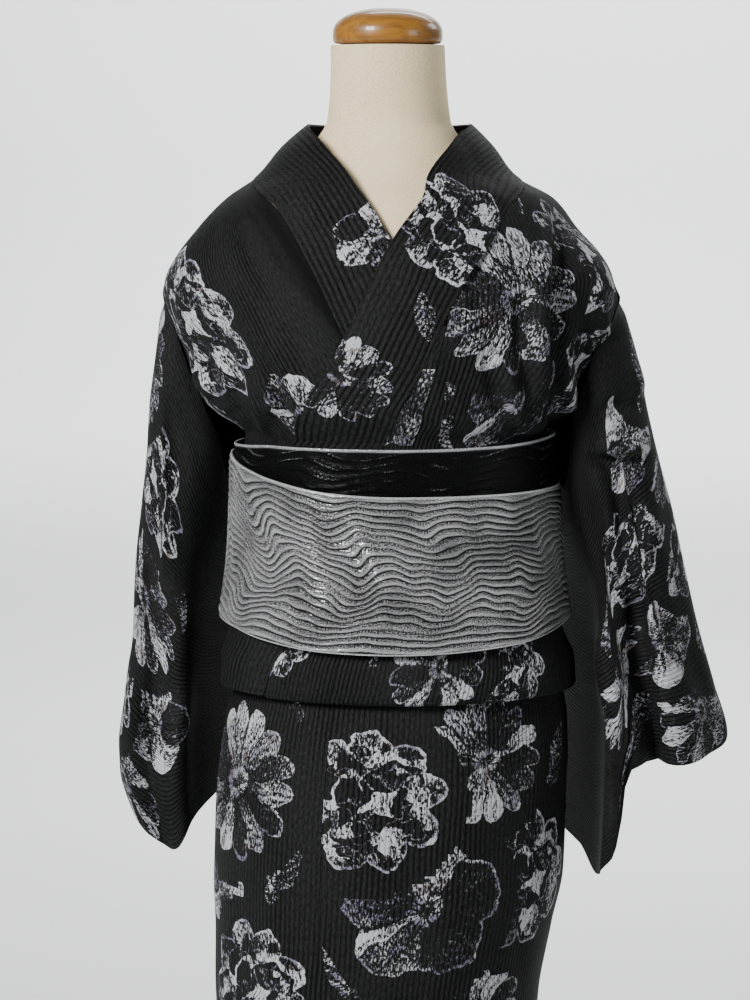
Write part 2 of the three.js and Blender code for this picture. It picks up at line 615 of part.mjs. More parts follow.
// Ridges run round the obi in waves that fade out towards its edges.
const RIDGE_ROWS = 2 * OBI_RIDGES;
function ridgedObi(u, v) {
  const angle = around(u);
  const row = Math.round(v * RIDGE_ROWS);
  const wave = Math.sin(2 * Math.PI * (OBI_WAVES * u + 0.4 * Math.sin(2.6 * Math.PI * v)));
  const level = lerp(obiEdge('outerTop', angle), obiEdge('bottom', angle), v);
  const z = level + OBI_WAVE_RISE * wave * Math.sin(Math.PI * v);
  return onRings(OBI, angle, z, OBI_STEP + OBI_WALL + (row % 2) * OBI_RIDGE_HEIGHT);
}
add('obi_outer_wrap', wall({
  columns: 39,
  rows: RIDGE_ROWS,
  innerRows: 6,
  ring: true,
  outer: ridgedObi,
  inner: obiWrap('outerTop', OBI_STEP),
}), silver);

// Flat knot at the back: a band over the obi and two ends that lie against it. across is measured round
// the back from its middle, towards the left.
const KNOT_OUT = OBI_STEP + OBI_WALL + OBI_RIDGE_HEIGHT + KNOT_GAP;
const KNOT_REACH = 118;
function knotPiece(name, { from, to, width, out }) {
  const along = new THREE.Vector2(to.across - from.across, to.z - from.z).normalize();
  const surface = (depth) => (u, v) => {
    const across = lerp(from.across, to.across, u) - along.y * width * (v - 0.5);
    const z = lerp(from.z, to.z, u) + along.x * width * (v - 0.5);
    return onRings(OBI, 180 - (across / KNOT_REACH) * (180 / Math.PI), z, out - depth);
  };
  add(name, wall({ columns: 8, rows: 4, outer: surface(0), inner: surface(KNOT_WALL) }), silver);
}
const END_OUT = KNOT_OUT + KNOT_WALL;
const END_WIDTH = 84;
knotPiece('obi_end_left', {
  from: { across: -10, z: 1010 }, to: { across: 96, z: 1052 }, width: END_WIDTH, out: END_OUT,
});
knotPiece('obi_end_right', {
  from: { across: -16, z: 1000 }, to: { across: -102, z: 985 }, width: END_WIDTH, out: END_OUT,
});
knotPiece('obi_knot_band', {
  from: { across: -6, z: 1096 }, to: { across: -16, z: 946 }, width: 70, out: END_OUT + KNOT_GAP + KNOT_WALL,
});

// The form fills the bodice over the shoulders, so the cloth rests on it there.
function formRing(z) {
  const held = z <= FORM_HOLDS.high && z >= FORM_HOLDS.low;
  return (angle) => (held ? onRings(TORSO, angle, z, -CLOTH - FORM_CLEARANCE) : ringPoint(FORM, angle, z));
}
add('form_torso', loft(30, FORM_ROWS.map(formRing)), cover);

const neck = FORM[0];
const cap = add('neck_cap', turned([
  [0, 0], [CAP_RADIUS - 2, 0], [CAP_RADIUS, 2], [CAP_RADIUS, 11], [CAP_RADIUS - 1, 15], [CAP_RADIUS - 5, 20],
  [CAP_RADIUS - 13, 25], [CAP_RADIUS - 26, CAP_HEIGHT - 0.8], [0, CAP_HEIGHT],
]), wood);
cap.position.set(neck.x, neck.y, NECK_TOP + TOUCH);

const socketLow = FORM_BOTTOM - TOUCH - SOCKET_HEIGHT;
const socket = add('pole_socket', turned([
  [0, 0], [SOCKET_RADIUS - 4, 0], [SOCKET_RADIUS, 4], [SOCKET_RADIUS, SOCKET_HEIGHT], [0, SOCKET_HEIGHT],
]), wood);
socket.position.z = socketLow;

add('pole', turned([
  [0, BASE_HEIGHT + TOUCH],
  [POLE_RADIUS, BASE_HEIGHT + TOUCH],
  [POLE_RADIUS, socketLow - TOUCH],
  [0, socketLow - TOUCH],
], 24), steel);
add('base', turned([
  [0, 0], [BASE_RADIUS, 0], [BASE_RADIUS, 5], [BASE_RADIUS - 4, 9], [40, BASE_HEIGHT - 2], [30, BASE_HEIGHT],
  [0, BASE_HEIGHT],
], 32), steel);

export default kimono;
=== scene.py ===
import math

import bpy
import numpy as np
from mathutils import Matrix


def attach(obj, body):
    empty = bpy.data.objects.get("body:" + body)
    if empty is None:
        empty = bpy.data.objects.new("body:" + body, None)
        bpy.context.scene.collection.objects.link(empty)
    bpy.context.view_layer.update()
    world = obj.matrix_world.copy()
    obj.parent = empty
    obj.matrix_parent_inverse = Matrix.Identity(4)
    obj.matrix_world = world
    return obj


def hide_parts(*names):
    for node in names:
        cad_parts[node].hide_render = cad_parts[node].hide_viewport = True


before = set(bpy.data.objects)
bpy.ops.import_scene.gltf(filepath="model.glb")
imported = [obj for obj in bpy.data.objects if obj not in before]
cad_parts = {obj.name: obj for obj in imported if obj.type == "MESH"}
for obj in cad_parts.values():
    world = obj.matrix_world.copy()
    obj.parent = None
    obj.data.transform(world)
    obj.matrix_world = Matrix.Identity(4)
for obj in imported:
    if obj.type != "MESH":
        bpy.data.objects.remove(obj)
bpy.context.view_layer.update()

scene = bpy.context.scene


# Studio: a pale paper sweep far behind the form with a lamp of its own, a large soft light from the front
# left, a weak one from the right and one from behind. The camera stands 2.5 m away near neck height and looks
# slightly down.
camera = bpy.data.objects.new("camera", bpy.data.cameras.new("camera"))
scene.collection.objects.link(camera)
camera.location = (-0.018, -2.5, 1.33)
camera.rotation_euler = (math.radians(90 - 6.6), 0, 0)
camera.data.lens = 113.6
scene.camera = camera

for name, place, aim, width, watts in [
    ("key_light", (-1.9, -2.3, 2.7), (0, 0, 1.0), 0.95, 172),
    ("fill_light", (2.3, -1.6, 1.6), (0, 0, 0.9), 0.9, 13),
    ("edge_light", (1.6, 0.9, 2.2), (0, 0, 1.1), 0.7, 10),
    ("sweep_light", (0.8, 3.6, 4.4), (0.1, 6.4, 0.6), 3.0, 640),
]:
    light = bpy.data.lights.new(name, "AREA")
    light.size = width
    light.energy = watts
    lamp = bpy.data.objects.new(name, light)
    scene.collection.objects.link(lamp)
    lamp.location = place
    lamp.visible_camera = False
    away = np.array(place) - np.array(aim)
    lamp.rotation_euler = (math.acos(away[2] / np.linalg.norm(away)), 0, math.atan2(away[0], -away[1]))

world = bpy.data.worlds.new("studio_air")
scene.world = world
world.use_nodes = True
world.node_tree.nodes["Background"].inputs["Color"].default_value = (0.93, 0.95, 1.0, 1)
world.node_tree.nodes["Background"].inputs["Strength"].default_value = 0.15


def new_material(name):
    """A material with its node tree and its Principled shader."""
    material = bpy.data.materials.new(name)
    material.use_nodes = True
    tree = material.node_tree
    return material, tree, tree.nodes["Principled BSDF"]


def add_node(tree, kind, **values):
    """A node of that kind. A value goes to its property or input of that name; a socket is linked."""
    node = tree.nodes.new(kind)
    for name, value in values.items():
        if hasattr(node, name):
            setattr(node, name, value)
            continue
        socket = node.inputs[int(name[1:])] if name[0] == "i" and name[1:].isdigit() else node.inputs[name]
        if isinstance(value, bpy.types.NodeSocket):
            tree.links.new(value, socket)
        else:
            socket.default_value = value
    return node


def calc(tree, operation, first, second=0.0, third=0.0):
    """The result of a Math node."""
    return add_node(tree, "ShaderNodeMath", operation=operation, i0=first, i1=second, i2=third).outputs[0]


def times(tree, first, second):
    """The product of two values."""
    return calc(tree, "MULTIPLY", first, second)


def minus(tree, first, second):
    """The difference of two values."""
    return calc(tree, "SUBTRACT", first, second)


def stretch(tree, place, factors):
    """A place with each axis multiplied by its own factor."""
    return add_node(tree, "ShaderNodeVectorMath", operation="MULTIPLY", i0=place, i1=factors).outputs[0]


def stretch_and_add(tree, place, factors, other):
    """A stretched place with another one added to it."""
    return add_node(tree, "ShaderNodeVectorMath", operation="MULTIPLY_ADD", i0=place, i1=factors,
                    i2=other).outputs[0]


def noise(tree, place, scale, detail, **more):
    """The value of a Noise node at a place."""
    return add_node(tree, "ShaderNodeTexNoise", Vector=place, Scale=scale, Detail=detail,
                    **more).outputs["Fac"]


def set_bump(tree, shader, height, strength, distance):
    """Gives a shader the relief of a height."""
    bump = add_node(tree, "ShaderNodeBump", Height=height, Strength=strength, Distance=distance)
    tree.links.new(bump.outputs[0], shader.inputs["Normal"])


def blend_colour(tree, share, first, second):
    """A colour between two others."""
    node = tree.nodes.new("ShaderNodeMix")
    node.data_type = "RGBA"
    for socket, value in ((node.inputs[0], share), (node.inputs[6], first), (node.inputs[7], second)):
        if isinstance(value, bpy.types.NodeSocket):
            tree.links.new(value, socket)
        else:
            socket.default_value = value
    return node.outputs[2]


def ramp(tree, value, low, high, to_low=0.0, to_high=1.0):
    """A value moved smoothly from one range to another."""
    node = add_node(tree, "ShaderNodeMapRange", interpolation_type="SMOOTHSTEP", Value=value)
    for name, number in (("From Min", low), ("From Max", high), ("To Min", to_low), ("To Max", to_high)):
        node.inputs[name].default_value = number
    return node.outputs[0]


FLOOR_END, BEND, WALL_TOP, HALF_WIDTH = 6.2, 1.2, 6.0, 7.5
profile = [(-HALF_WIDTH, 0.0), (FLOOR_END, 0.0)]
profile += [(FLOOR_END + BEND * math.sin(a), BEND - BEND * math.cos(a)) for a in np.linspace(0.1, math.pi / 2,
                                                                                             16)]
profile += [(FLOOR_END + BEND, WALL_TOP)]
sweep_mesh = bpy.data.meshes.new("paper_sweep")
sweep_mesh.from_pydata(
    [(side * HALF_WIDTH, y, z) for y, z in profile for side in (-1, 1)], [],
    [(2 * i, 2 * i + 1, 2 * i + 3, 2 * i + 2) for i in range(len(profile) - 1)])
sweep_mesh.polygons.foreach_set("use_smooth", [True] * len(sweep_mesh.polygons))
sweep = bpy.data.objects.new("paper_sweep", sweep_mesh)
scene.collection.objects.link(sweep)
paper, tree, shader = new_material("paper")
place = add_node(tree, "ShaderNodeTexCoord").outputs["Object"]
height = add_node(tree, "ShaderNodeSeparateXYZ", Vector=place).outputs["Z"]
cloud = noise(tree, place, 1.1, 2.0)
# Painted shade: the paper is darker on the floor and up to half a metre up the wall, with faint random mottling.
tone = calc(tree, "ADD", ramp(tree, height, 0.0, 0.5), times(tree, cloud, 0.12))
tree.links.new(blend_colour(tree, tone, (0.56, 0.58, 0.565, 1), (0.87, 0.90, 0.875, 1)),
               shader.inputs["Base Color"])
shader.inputs["Roughness"].default_value = 0.9
sweep_mesh.materials.append(paper)


# Bodice: two fronts, two backs and the left front's overlap, cut from one narrow bolt of charcoal crinkle
# cloth with a white and lilac print. It is folded up at the waist and held by the obi.
TORSO = np.array([  # z, middle x, middle y, half width, half depth
    (1342, -6, 24, 60, 66), (1320, -8, 19, 83, 77), (1299, -9, 14, 100, 85), (1280, -6, 8, 130, 92),
    (1257, -8, 4, 150, 99), (1237, -8, 1, 165, 104), (1216, -6, -1, 174, 107), (1182, -6, -3, 169, 110),
    (1150, -5, -4, 160, 111), (1121, -5, -5, 148, 109), (1111, -3, -6, 139, 105), (1103, -3, -7, 126, 100),
    (1096, -2, -8, 119, 97), (1040, -2, -8, 121, 98), (1000, -2, -8, 123, 99), (951, -2, -8, 130, 103),
    (934, -1, -7, 135, 107), (918, 0, -6, 141, 112), (895, 1, -6, 142, 113)], float)
CLOTH = 1.2
OVER = 2.8
FOLD_Z = 895
FOLD_RADIUS = 3
OVER_FOLD_RADIUS = 5.6
LEVEL_Z = 1166
BODICE_TOP = 1299
FRONT_EDGE_Z = 1186
MOTIF_SPREAD = 1.16  # a motif is drawn larger than its listed radius by this
MOTIF_MARGIN = 1.16  # and is looked up this far past its own edge
FOLD_STRENGTH, DEEPEST_FOLD, HIGHEST_FOLD = 1.35, -5.5, 9
BODICE_MAP_RADIUS = 0.15  # metres of the cloth map for each radian round the body


def smooth(places, values, at):
    """The curve through a table's rows that doesn't overshoot them."""
    places, values = np.array(places, float), np.array(values, float)
    if places[0] > places[-1]:
        places, values = places[::-1], values[::-1]
    rise = np.diff(values) / np.diff(places)
    before, after = rise[:-1], rise[1:]
    total = np.where(before + after == 0, 1, before + after)
    middle = np.where(before * after > 0, 2 * before * after / total, 0)
    slope = np.concatenate([rise[:1], middle, rise[-1:]])
    i = np.clip(np.searchsorted(places, at) - 1, 0, len(places) - 2)
    span = places[i + 1] - places[i]
    t = np.clip((at - places[i]) / span, 0, 1)
    ends = values[i] * (1 + 2 * t) * (1 - t) ** 2 + values[i + 1] * t * t * (3 - 2 * t)
    return ends + span * (slope[i] * t * (1 - t) ** 2 + slope[i + 1] * t * t * (t - 1))


def step(value, low, high):
    """0 below low, 1 above high and smooth between."""
    t = np.clip((value - low) / (high - low), 0, 1)
    return t * t * (3 - 2 * t)


def ring_point(rings, angle, z):
    """A point in mm of the surface through the rings. The angle runs from the front over the left side."""
    turn = np.radians(angle)
    x, y, half_width, half_depth = (smooth(rings[:, 0], rings[:, i], z) for i in range(1, 5))
    return np.stack([x + half_width * np.sin(turn), y - half_depth * np.cos(turn), z], -1)


def on_rings(rings, angle, z, out):
    """A point of that surface, moved out along its normal."""
    angle, z, out = np.broadcast_arrays(*(np.asarray(part, float) for part in (angle, z, out)))
    around = ring_point(rings, angle + 0.5, z) - ring_point(rings, angle - 0.5, z)
    up = ring_point(rings, angle, z + 1) - ring_point(rings, angle, z - 1)
    normal = np.cross(around, up)
    normal /= np.linalg.norm(normal, axis=-1, keepdims=True)
    return ring_point(rings, angle, z) + normal * out[..., None]


def creases(x, z, table):
    """Height in mm of folds: from x, z to x, z with a bow, a width and a height; steeper on one side."""
    height = np.zeros(np.broadcast(x, z).shape)
    for x0, z0, x1, z1, bow, width, high in table:
        length = math.hypot(x1 - x0, z1 - z0)
        ax, az = (x1 - x0) / length, (z1 - z0) / length
        t = ((x - x0) * ax + (z - z0) * az) / length
        side = (x - x0) * az - (z - z0) * ax - bow * 4 * t * (1 - t)
        across = np.where(side > 0, side / width, side / (1.7 * width))
        fade = step(t, -0.1, 0.28) * (1 - step(t, 0.7, 1.1))
        height += high * fade * np.exp(-across ** 2)
    return height


def shell(name, outer, inner, uv, material, nodes, motifs=(), ring=False):
    """A closed cloth wall between two grids in mm, with its UV map in metres, in place of its CAD nodes.

    A ring closes on itself, and its inner grid may then have fewer rows than the outer one."""
    rows, columns = uv.shape[0] - 1, uv.shape[1] - 1
    across = outer.shape[1]
    count = rows * across + across
    inner_uv_rows = np.linspace(0, rows, inner.shape[0]).round().astype(int)
    faces, places = [], []
    corners = [(0, 0), (1, 0), (1, 1), (0, 1)]
    for uv_rows, first, order in ((np.arange(rows + 1), 0, 1), (inner_uv_rows, count, -1)):
        r, c = np.mgrid[0:len(uv_rows) - 1, 0:columns]
        wall = np.stack([first + (r + i) * across + (c + j) % across for i, j in corners], -1)
        wall_uv = np.stack([uv_rows[r + i] * (columns + 1) + c + j for i, j in corners], -1)
        faces.append(wall.reshape(-1, 4)[:, ::order])
        places.append(wall_uv.reshape(-1, 4)[:, ::order])
    along = np.arange(columns + 1)
    down = np.arange(rows + 1)
    rims = [(0 * along, 0 * along, along),
            (0 * along + rows, 0 * along + len(inner_uv_rows) - 1, along[::-1])]
    if not ring:
        rims += [(down[::-1], down[::-1], 0 * down), (down, down, 0 * down + columns)]
    for rim_row, inner_row, rim_column in rims:
        line = rim_row * across + rim_column % across
        under = count + inner_row * across + rim_column % across
        line_uv = rim_row * (columns + 1) + rim_column
        faces.append(np.stack([line[:-1], line[1:], under[1:], under[:-1]], -1))
        places.append(np.stack([line_uv[:-1], line_uv[1:], line_uv[1:], line_uv[:-1]], -1))
    faces, places = np.concatenate(faces), np.concatenate(places)
    points = np.concatenate([outer.reshape(-1, 3), inner.reshape(-1, 3)]) / 1000
    a, b, c, d = (points[faces[:, i]] for i in range(4))
    if (a * (np.cross(b, c) + np.cross(c, d))).sum() < 0:
        faces, places = faces[:, ::-1], places[:, ::-1]
    mesh = bpy.data.meshes.new(name)
    mesh.from_pydata(points.tolist(), [], faces.tolist())
    flat = uv.reshape(-1, 2)
    mesh.uv_layers.new(name="cloth").uv.foreach_set("vector", flat[places.ravel()].ravel())
    mesh.polygons.foreach_set("use_smooth", [True] * len(faces))
    mesh.set_sharp_from_angle(angle=math.radians(55))
    if motifs:
        at = uv[:, :across].reshape(-1, 2)
        local = np.zeros((len(points), 3))
        inside = np.zeros(len(points))
        owner = np.full(count, -1)
        for number, (u, v, radius, kind, turn) in enumerate(motifs):
            away = (at - (u, v)) / (MOTIF_SPREAD * radius)
            reach = np.hypot(away[:, 0], away[:, 1])
            chosen = (owner < 0) & (reach < MOTIF_MARGIN)
            turned = math.radians(turn)
            local[:count][chosen, 0] = (away[:, 0] * math.cos(turned) + away[:, 1] * math.sin(turned))[chosen]
            local[:count][chosen, 1] = (away[:, 1] * math.cos(turned) - away[:, 0] * math.sin(turned))[chosen]
            local[:count][chosen, 2] = kind + 0.1 + 0.8 * ((0.618 * number) % 1)
            owner[chosen] = number
        owner = owner.reshape(rows + 1, across)
        whole = owner >= 0
        for axis in (0, 1):
            same = np.diff(owner, axis=axis) == 0
            whole &= np.insert(same, 0, True, axis) & np.insert(same, same.shape[axis], True, axis)
        inside[:count] = whole.ravel()
        mesh.attributes.new("motif", "FLOAT_VECTOR", "POINT").data.foreach_set("vector", local.ravel())
        mesh.attributes.new("motif_inside", "FLOAT", "POINT").data.foreach_set("value", inside)
    mesh.materials.append(material)
    piece = bpy.data.objects.new(name, mesh)
    scene.collection.objects.link(piece)
    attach(piece, "root")
    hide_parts(*nodes)
    return piece


def declare(piece):
    """Reads the piece's cloth map and does nothing more with it."""
    uv = np.empty(2 * len(piece.data.loops))
    piece.data.uv_layers["cloth"].uv.foreach_get("vector", uv)


def group(name, inputs, outputs):
    """An empty shader node group with its input and output nodes."""
    tree = bpy.data.node_groups.new(name, "ShaderNodeTree")
    for label, kind in inputs:
        tree.interface.new_socket(label, in_out="INPUT", socket_type=kind)
    for label, kind in outputs:
        tree.interface.new_socket(label, in_out="OUTPUT", socket_type=kind)
    return tree, tree.nodes.new("NodeGroupInput").outputs, tree.nodes.new("NodeGroupOutput").inputs


# The print's own group: snow rings filled with cracked ice, round-petalled blossoms and leaves. Each motif is
# listed as u, v and radius in metres, kind (0 ring, 1 blossom, 2 blossom of many petals, 3 leaf) and turn.
tree, given, result = group(
    "print_motifs", [("Motif", "NodeSocketVector"), ("Inside", "NodeSocketFloat"),
                     ("Cloth", "NodeSocketVector")],
    [("Cover", "NodeSocketFloat"), ("Colour", "NodeSocketColor")])
parts = add_node(tree, "ShaderNodeSeparateXYZ", Vector=given["Motif"]).outputs
flat = add_node(tree, "ShaderNodeCombineXYZ", X=parts["X"], Y=parts["Y"]).outputs[0]
seed = parts["Z"]
kind = calc(tree, "FLOOR", seed)
chance = calc(tree, "FRACT", seed)
drawn = add_node(tree, "ShaderNodeTexNoise", Vector=flat, Scale=2.6, Detail=3.0).outputs["Color"]
drawn = add_node(tree, "ShaderNodeVectorMath", operation="SUBTRACT", i0=drawn, i1=(0.5, 0.5, 0.5)).outputs[0]
flat = stretch_and_add(tree, drawn, (0.3, 0.3, 0.0), flat)
parts = add_node(tree, "ShaderNodeSeparateXYZ", Vector=flat).outputs
x, y = parts["X"], parts["Y"]
radius = calc(tree, "SQRT", calc(tree, "ADD", times(tree, x, x), times(tree, y, y)))
is_ring = calc(tree, "LESS_THAN", kind, 0.5)
is_leaf = calc(tree, "GREATER_THAN", kind, 2.5)
many = calc(tree, "COMPARE", kind, 2.0, 0.4)
petals = calc(tree, "ADD", 5.0, calc(tree, "ADD", times(tree, is_ring, 4.0),
                                     times(tree, many, 9.0)))
turn = times(tree, calc(tree, "ARCTAN2", y, x), 1 / (2 * math.pi))
petal = calc(tree, "ADD", times(tree, calc(tree, "ADD", turn, 0.5), petals), chance)
border = calc(tree, "ABSOLUTE", minus(tree, calc(tree, "FRACT", petal), 0.5))
border = times(tree, border, 2.0)
rim = minus(tree, 0.98, times(tree, calc(tree, "POWER", border, 2.0), 0.22))
drawn_at = add_node(tree, "ShaderNodeCombineXYZ", X=calc(tree, "FLOOR", petal),
                    Y=calc(tree, "FLOOR", times(tree, seed, 50.0))).outputs[0]
petal_tone = add_node(tree, "ShaderNodeTexWhiteNoise", noise_dimensions="2D",
                      Vector=drawn_at).outputs["Value"]
stroke_at = add_node(tree, "ShaderNodeCombineXYZ", X=times(tree, petal, 9.0),
                     Y=times(tree, radius, 1.6), Z=seed).outputs[0]
stroke = noise(tree, stroke_at, 1.0, 2.0)
stroke = ramp(tree, stroke, 0.36, 0.62)
size = noise(tree, flat, 1.7, 0.0)
torn = add_node(tree, "ShaderNodeTexNoise", Vector=flat, Scale=3.4, Detail=1.0).outputs["Color"]
shards = stretch_and_add(tree, torn, (2.6, 2.6, 0.0), flat)
shards = stretch_and_add(tree, flat, (4.4, 4.4, 1.0), shards)
shards = add_node(tree, "ShaderNodeVectorMath", operation="SCALE", i0=shards,
                  Scale=ramp(tree, size, 0.35, 0.65, 0.92, 1.12)).outputs[0]
ice = add_node(tree, "ShaderNodeTexVoronoi", feature="F1", Vector=shards, Scale=1.0).outputs["Color"]
ice_edge = add_node(tree, "ShaderNodeTexVoronoi", feature="DISTANCE_TO_EDGE", Vector=shards,
                    Scale=1.0).outputs["Distance"]
cell = add_node(tree, "ShaderNodeSeparateColor", Color=ice).outputs["Red"]
hatch_at = stretch(tree, flat, (26.0, 4.0, 1.0))
hatch = noise(tree, hatch_at, 1.0, 2.0)
hatch = ramp(tree, hatch, 0.36, 0.62)
near_rim = ramp(tree, minus(tree, rim, radius), 0.015, 0.09, 0.75, 0.0)
cell_tone = times(tree, ramp(tree, cell, 0.42, 0.92, 0.04, 1.0), calc(tree, "MULTIPLY_ADD", hatch, 0.6, 0.4))
ring_tone = calc(tree, "MAXIMUM", calc(tree, "MAXIMUM", near_rim, ramp(tree, ice_edge, 0.0, 0.07, 0.42, 0.0)),
                 cell_tone)
fill = times(tree, ramp(tree, petal_tone, 0.15, 0.85, 0.12, 1.0), ramp(tree, radius, 0.1, 0.8, 0.35, 1.0))
fill = times(tree, fill, calc(tree, "MULTIPLY_ADD", stroke, 0.6, 0.4))
fill = times(tree, fill, ramp(tree, border, 0.84, 0.97, 1.0, 0.0))
heart = ramp(tree, calc(tree, "ABSOLUTE", minus(tree, radius, 0.15)), 0.02, 0.09, 0.85, 0.0)
petal_shade = calc(tree, "MAXIMUM", calc(tree, "MAXIMUM", fill, times(tree, near_rim, 0.7)),
                   times(tree, heart, stroke))
rosette = times(tree, calc(tree, "LESS_THAN", radius, rim), add_node(
    tree, "ShaderNodeMix", i0=is_ring, i2=petal_shade, i3=ring_tone).outputs[0])
leaf_half = calc(tree, "ABSOLUTE", y)
leaf_width = times(tree, minus(tree, 1.0, times(tree, x, x)), 0.36)
leaf_in = times(tree, calc(tree, "LESS_THAN", leaf_half, leaf_width), ramp(tree, leaf_half, 0.0, 0.035))
veins = minus(tree, x, times(tree, leaf_half, 1.3))
veins = ramp(tree, calc(tree, "FRACT", times(tree, veins, 4.0)), 0.05, 0.9, 1.0, 0.2)
leaf_side = ramp(tree, y, -0.02, 0.02, 0.45, 1.0)
leaf_tone = times(tree, times(tree, leaf_in, veins), times(tree, leaf_side, hatch))
tone = add_node(tree, "ShaderNodeMix", i0=is_leaf, i2=rosette, i3=leaf_tone).outputs[0]
brushed = stretch(tree, given["Cloth"], (820.0, 300.0, 1.0))
brush = noise(tree, brushed, 1.0, 2.0, Roughness=0.6)
brush = ramp(tree, brush, 0.34, 0.66)
patch = noise(tree, given["Cloth"], 55.0, 2.0)
worn = times(tree, tone, ramp(tree, patch, 0.3, 0.6, 0.62, 1.12))
cover = ramp(tree, minus(tree, worn, times(tree, brush, 0.72)), -0.03, 0.30)
inside = calc(tree, "GREATER_THAN", given["Inside"], 0.99)
cover = times(tree, times(tree, cover, inside), ramp(tree, tone, 0.03, 0.1))
tree.links.new(cover, result["Cover"])
lilac = blend_colour(tree, ramp(tree, petal_tone, 0.35, 0.75), (0.22, 0.205, 0.285, 1), (0.54, 0.54, 0.59, 1))
brown = blend_colour(tree, ramp(tree, patch, 0.58, 0.68, 0.0, 0.75), lilac, (0.18, 0.125, 0.11, 1))
tree.links.new(blend_colour(tree, ramp(tree, cell, 0.35, 0.8), brown, (0.57, 0.57, 0.60, 1)),
               result["Colour"])
print_motifs = tree

# The weave's own group: soft ribs along the cloth that wander, broken by short crinkles.
RIB_PITCH, RIB_SWAY = 0.004, 5.0
# The second output is painted shade in the grooves between the ribs, times the thread's own random grain.
tree, given, result = group(
    "crinkle_weave", [("Cloth", "NodeSocketVector")],
    [("Height", "NodeSocketFloat"), ("GrooveShadeAndGrain", "NodeSocketFloat")])
drift = stretch(tree, given["Cloth"], (30.0, 16.0, 1.0))
sway = noise(tree, drift, 1.0, 2.0)
across = add_node(tree, "ShaderNodeSeparateXYZ", Vector=given["Cloth"]).outputs["X"]
phase = calc(tree, "ADD", times(tree, across, 2 * math.pi / RIB_PITCH), times(tree, sway, RIB_SWAY))
rib = calc(tree, "SQRT", calc(tree, "MULTIPLY_ADD", calc(tree, "SINE", phase), 0.5, 0.5))
fine = stretch(tree, given["Cloth"], (700.0, 260.0, 1.0))
grain = noise(tree, fine, 1.0, 3.0, Roughness=0.6)
grain = ramp(tree, grain, 0.32, 0.68)
patchy = stretch(tree, given["Cloth"], (22.0, 7.0, 1.0))
strength = noise(tree, patchy, 1.0, 2.0)
strength = ramp(tree, strength, 0.34, 0.6, 0.35, 1.0)
groove = minus(tree, 1.0, times(tree, minus(tree, 1.0, rib), strength))
tree.links.new(calc(tree, "ADD", groove, times(tree, grain, 0.35)), result["Height"])
tree.links.new(times(tree, groove, calc(tree, "MULTIPLY_ADD", grain, 0.7, 0.3)), result["GrooveShadeAndGrain"])
crinkle_weave = tree


def crinkle_cloth(name, along="V"):
    """The kimono's printed cloth, with ribs along the V or U of the cloth map."""
    material, tree, shader = new_material(name)
    cloth = add_node(tree, "ShaderNodeUVMap", uv_map="cloth").outputs[0]
    if along == "U":
        cloth = add_node(tree, "ShaderNodeMapping", Vector=cloth, Rotation=(0, 0, math.pi / 2)).outputs[0]
    weave = add_node(tree, "ShaderNodeGroup", node_tree=crinkle_weave, Cloth=cloth).outputs
    # Painted shade: the cloth's colour darkens in the grooves between its ribs.
    colour = blend_colour(tree, weave["GrooveShadeAndGrain"], (0.0005, 0.0005, 0.0006, 1), (0.022, 0.022, 0.0225, 1))
    printed = add_node(
        tree, "ShaderNodeGroup", node_tree=print_motifs, Cloth=cloth,
        Motif=add_node(tree, "ShaderNodeAttribute", attribute_name="motif").outputs["Vector"],
        Inside=add_node(tree, "ShaderNodeAttribute", attribute_name="motif_inside").outputs["Fac"]).outputs
    colour = blend_colour(tree, times(tree, printed["Cover"], 0.9), colour, printed["Colour"])
    tree.links.new(colour, shader.inputs["Base Color"])
    shader.inputs["Roughness"].default_value = 0.66
    shader.inputs["Sheen Weight"].default_value = 0.01
    shader.inputs["Sheen Roughness"].default_value = 0.4
    shader.inputs["Specular IOR Level"].default_value = 0.09
    set_bump(tree, shader, weave["Height"], 0.8, 0.0009)
    return material


kimono_cloth = crinkle_cloth("kimono_cloth")

COLLAR_PATH = np.array([  # share, free edge's angle and height, sewn edge's angle and height, outer face
    (0.03, 20, 1142, -4.5, 1124, 0.8), (0.1, 6.8, 1210, -13, 1182, 1.2), (0.15, 0, 1254, -20.6, 1230, 1.2),
    (0.2, -12.8, 1292, -32, 1262, 1.2), (0.24, -29, 1315, -46, 1280, 1.2), (0.28, -54, 1331, -70, 1291, 1.2),
    (0.33, -90, 1338, -95, 1297, 1.2), (0.39, -135, 1337, -135, 1288, 1.2),
    (0.45, -180, 1335, -180, 1282, 1.2),
    (0.51, -225, 1337, -225, 1288, 1.2), (0.57, -270, 1338, -265, 1297, 1.4),
    (0.62, -308, 1332, -290, 1291, 2),
    (0.66, -332, 1314, -318, 1275, 3), (0.7, -345.9, 1290, -328.8, 1251, 4),
    (0.75, -358.8, 1250, -341.3, 1218, 4),
    (0.8, -365.4, 1216, -347, 1186, 4), (0.85, -371.8, 1179, -352.3, 1151, 4),
    (0.9, -386, 1127, -363.5, 1099, 4),
    (0.94, -409, 1072, -376, 1046, 4), (0.97, -427, 975, -396.3, 951, 4), (1.0, -437, 898, -407, 898, 4)],
    float)
SHARE, FREE_ANGLE, FREE_Z, SEWN_ANGLE, SEWN_Z, COLLAR_OUT = range(6)
RIGHT_COLLAR, NECK_COLLAR, LEFT_COLLAR = (0, 6), (5, 12), (10, 20)
OKUMI_SEAM = [(1186, 14.4), (1134, 10), (1095, 6.3), (931, -18.7), (896, -22.5)]  # height, angle


def collar_where(stretch, known, value, wanted):
    """A column of the collar's table where another one has a value, on one stretch of the collar."""
    first, last = stretch
    share = np.linspace(COLLAR_PATH[first, SHARE], COLLAR_PATH[last, SHARE], 600)
    have = smooth(COLLAR_PATH[:, SHARE], COLLAR_PATH[:, known], share)
    want = smooth(COLLAR_PATH[:, SHARE], COLLAR_PATH[:, wanted], share)
    order = np.argsort(have)
    return np.interp(value, have[order], want[order])


def left_lift(angle):
    """The left front lies over the right one and comes down to the side seam."""
    return OVER * step(80 - angle, 0, 30)


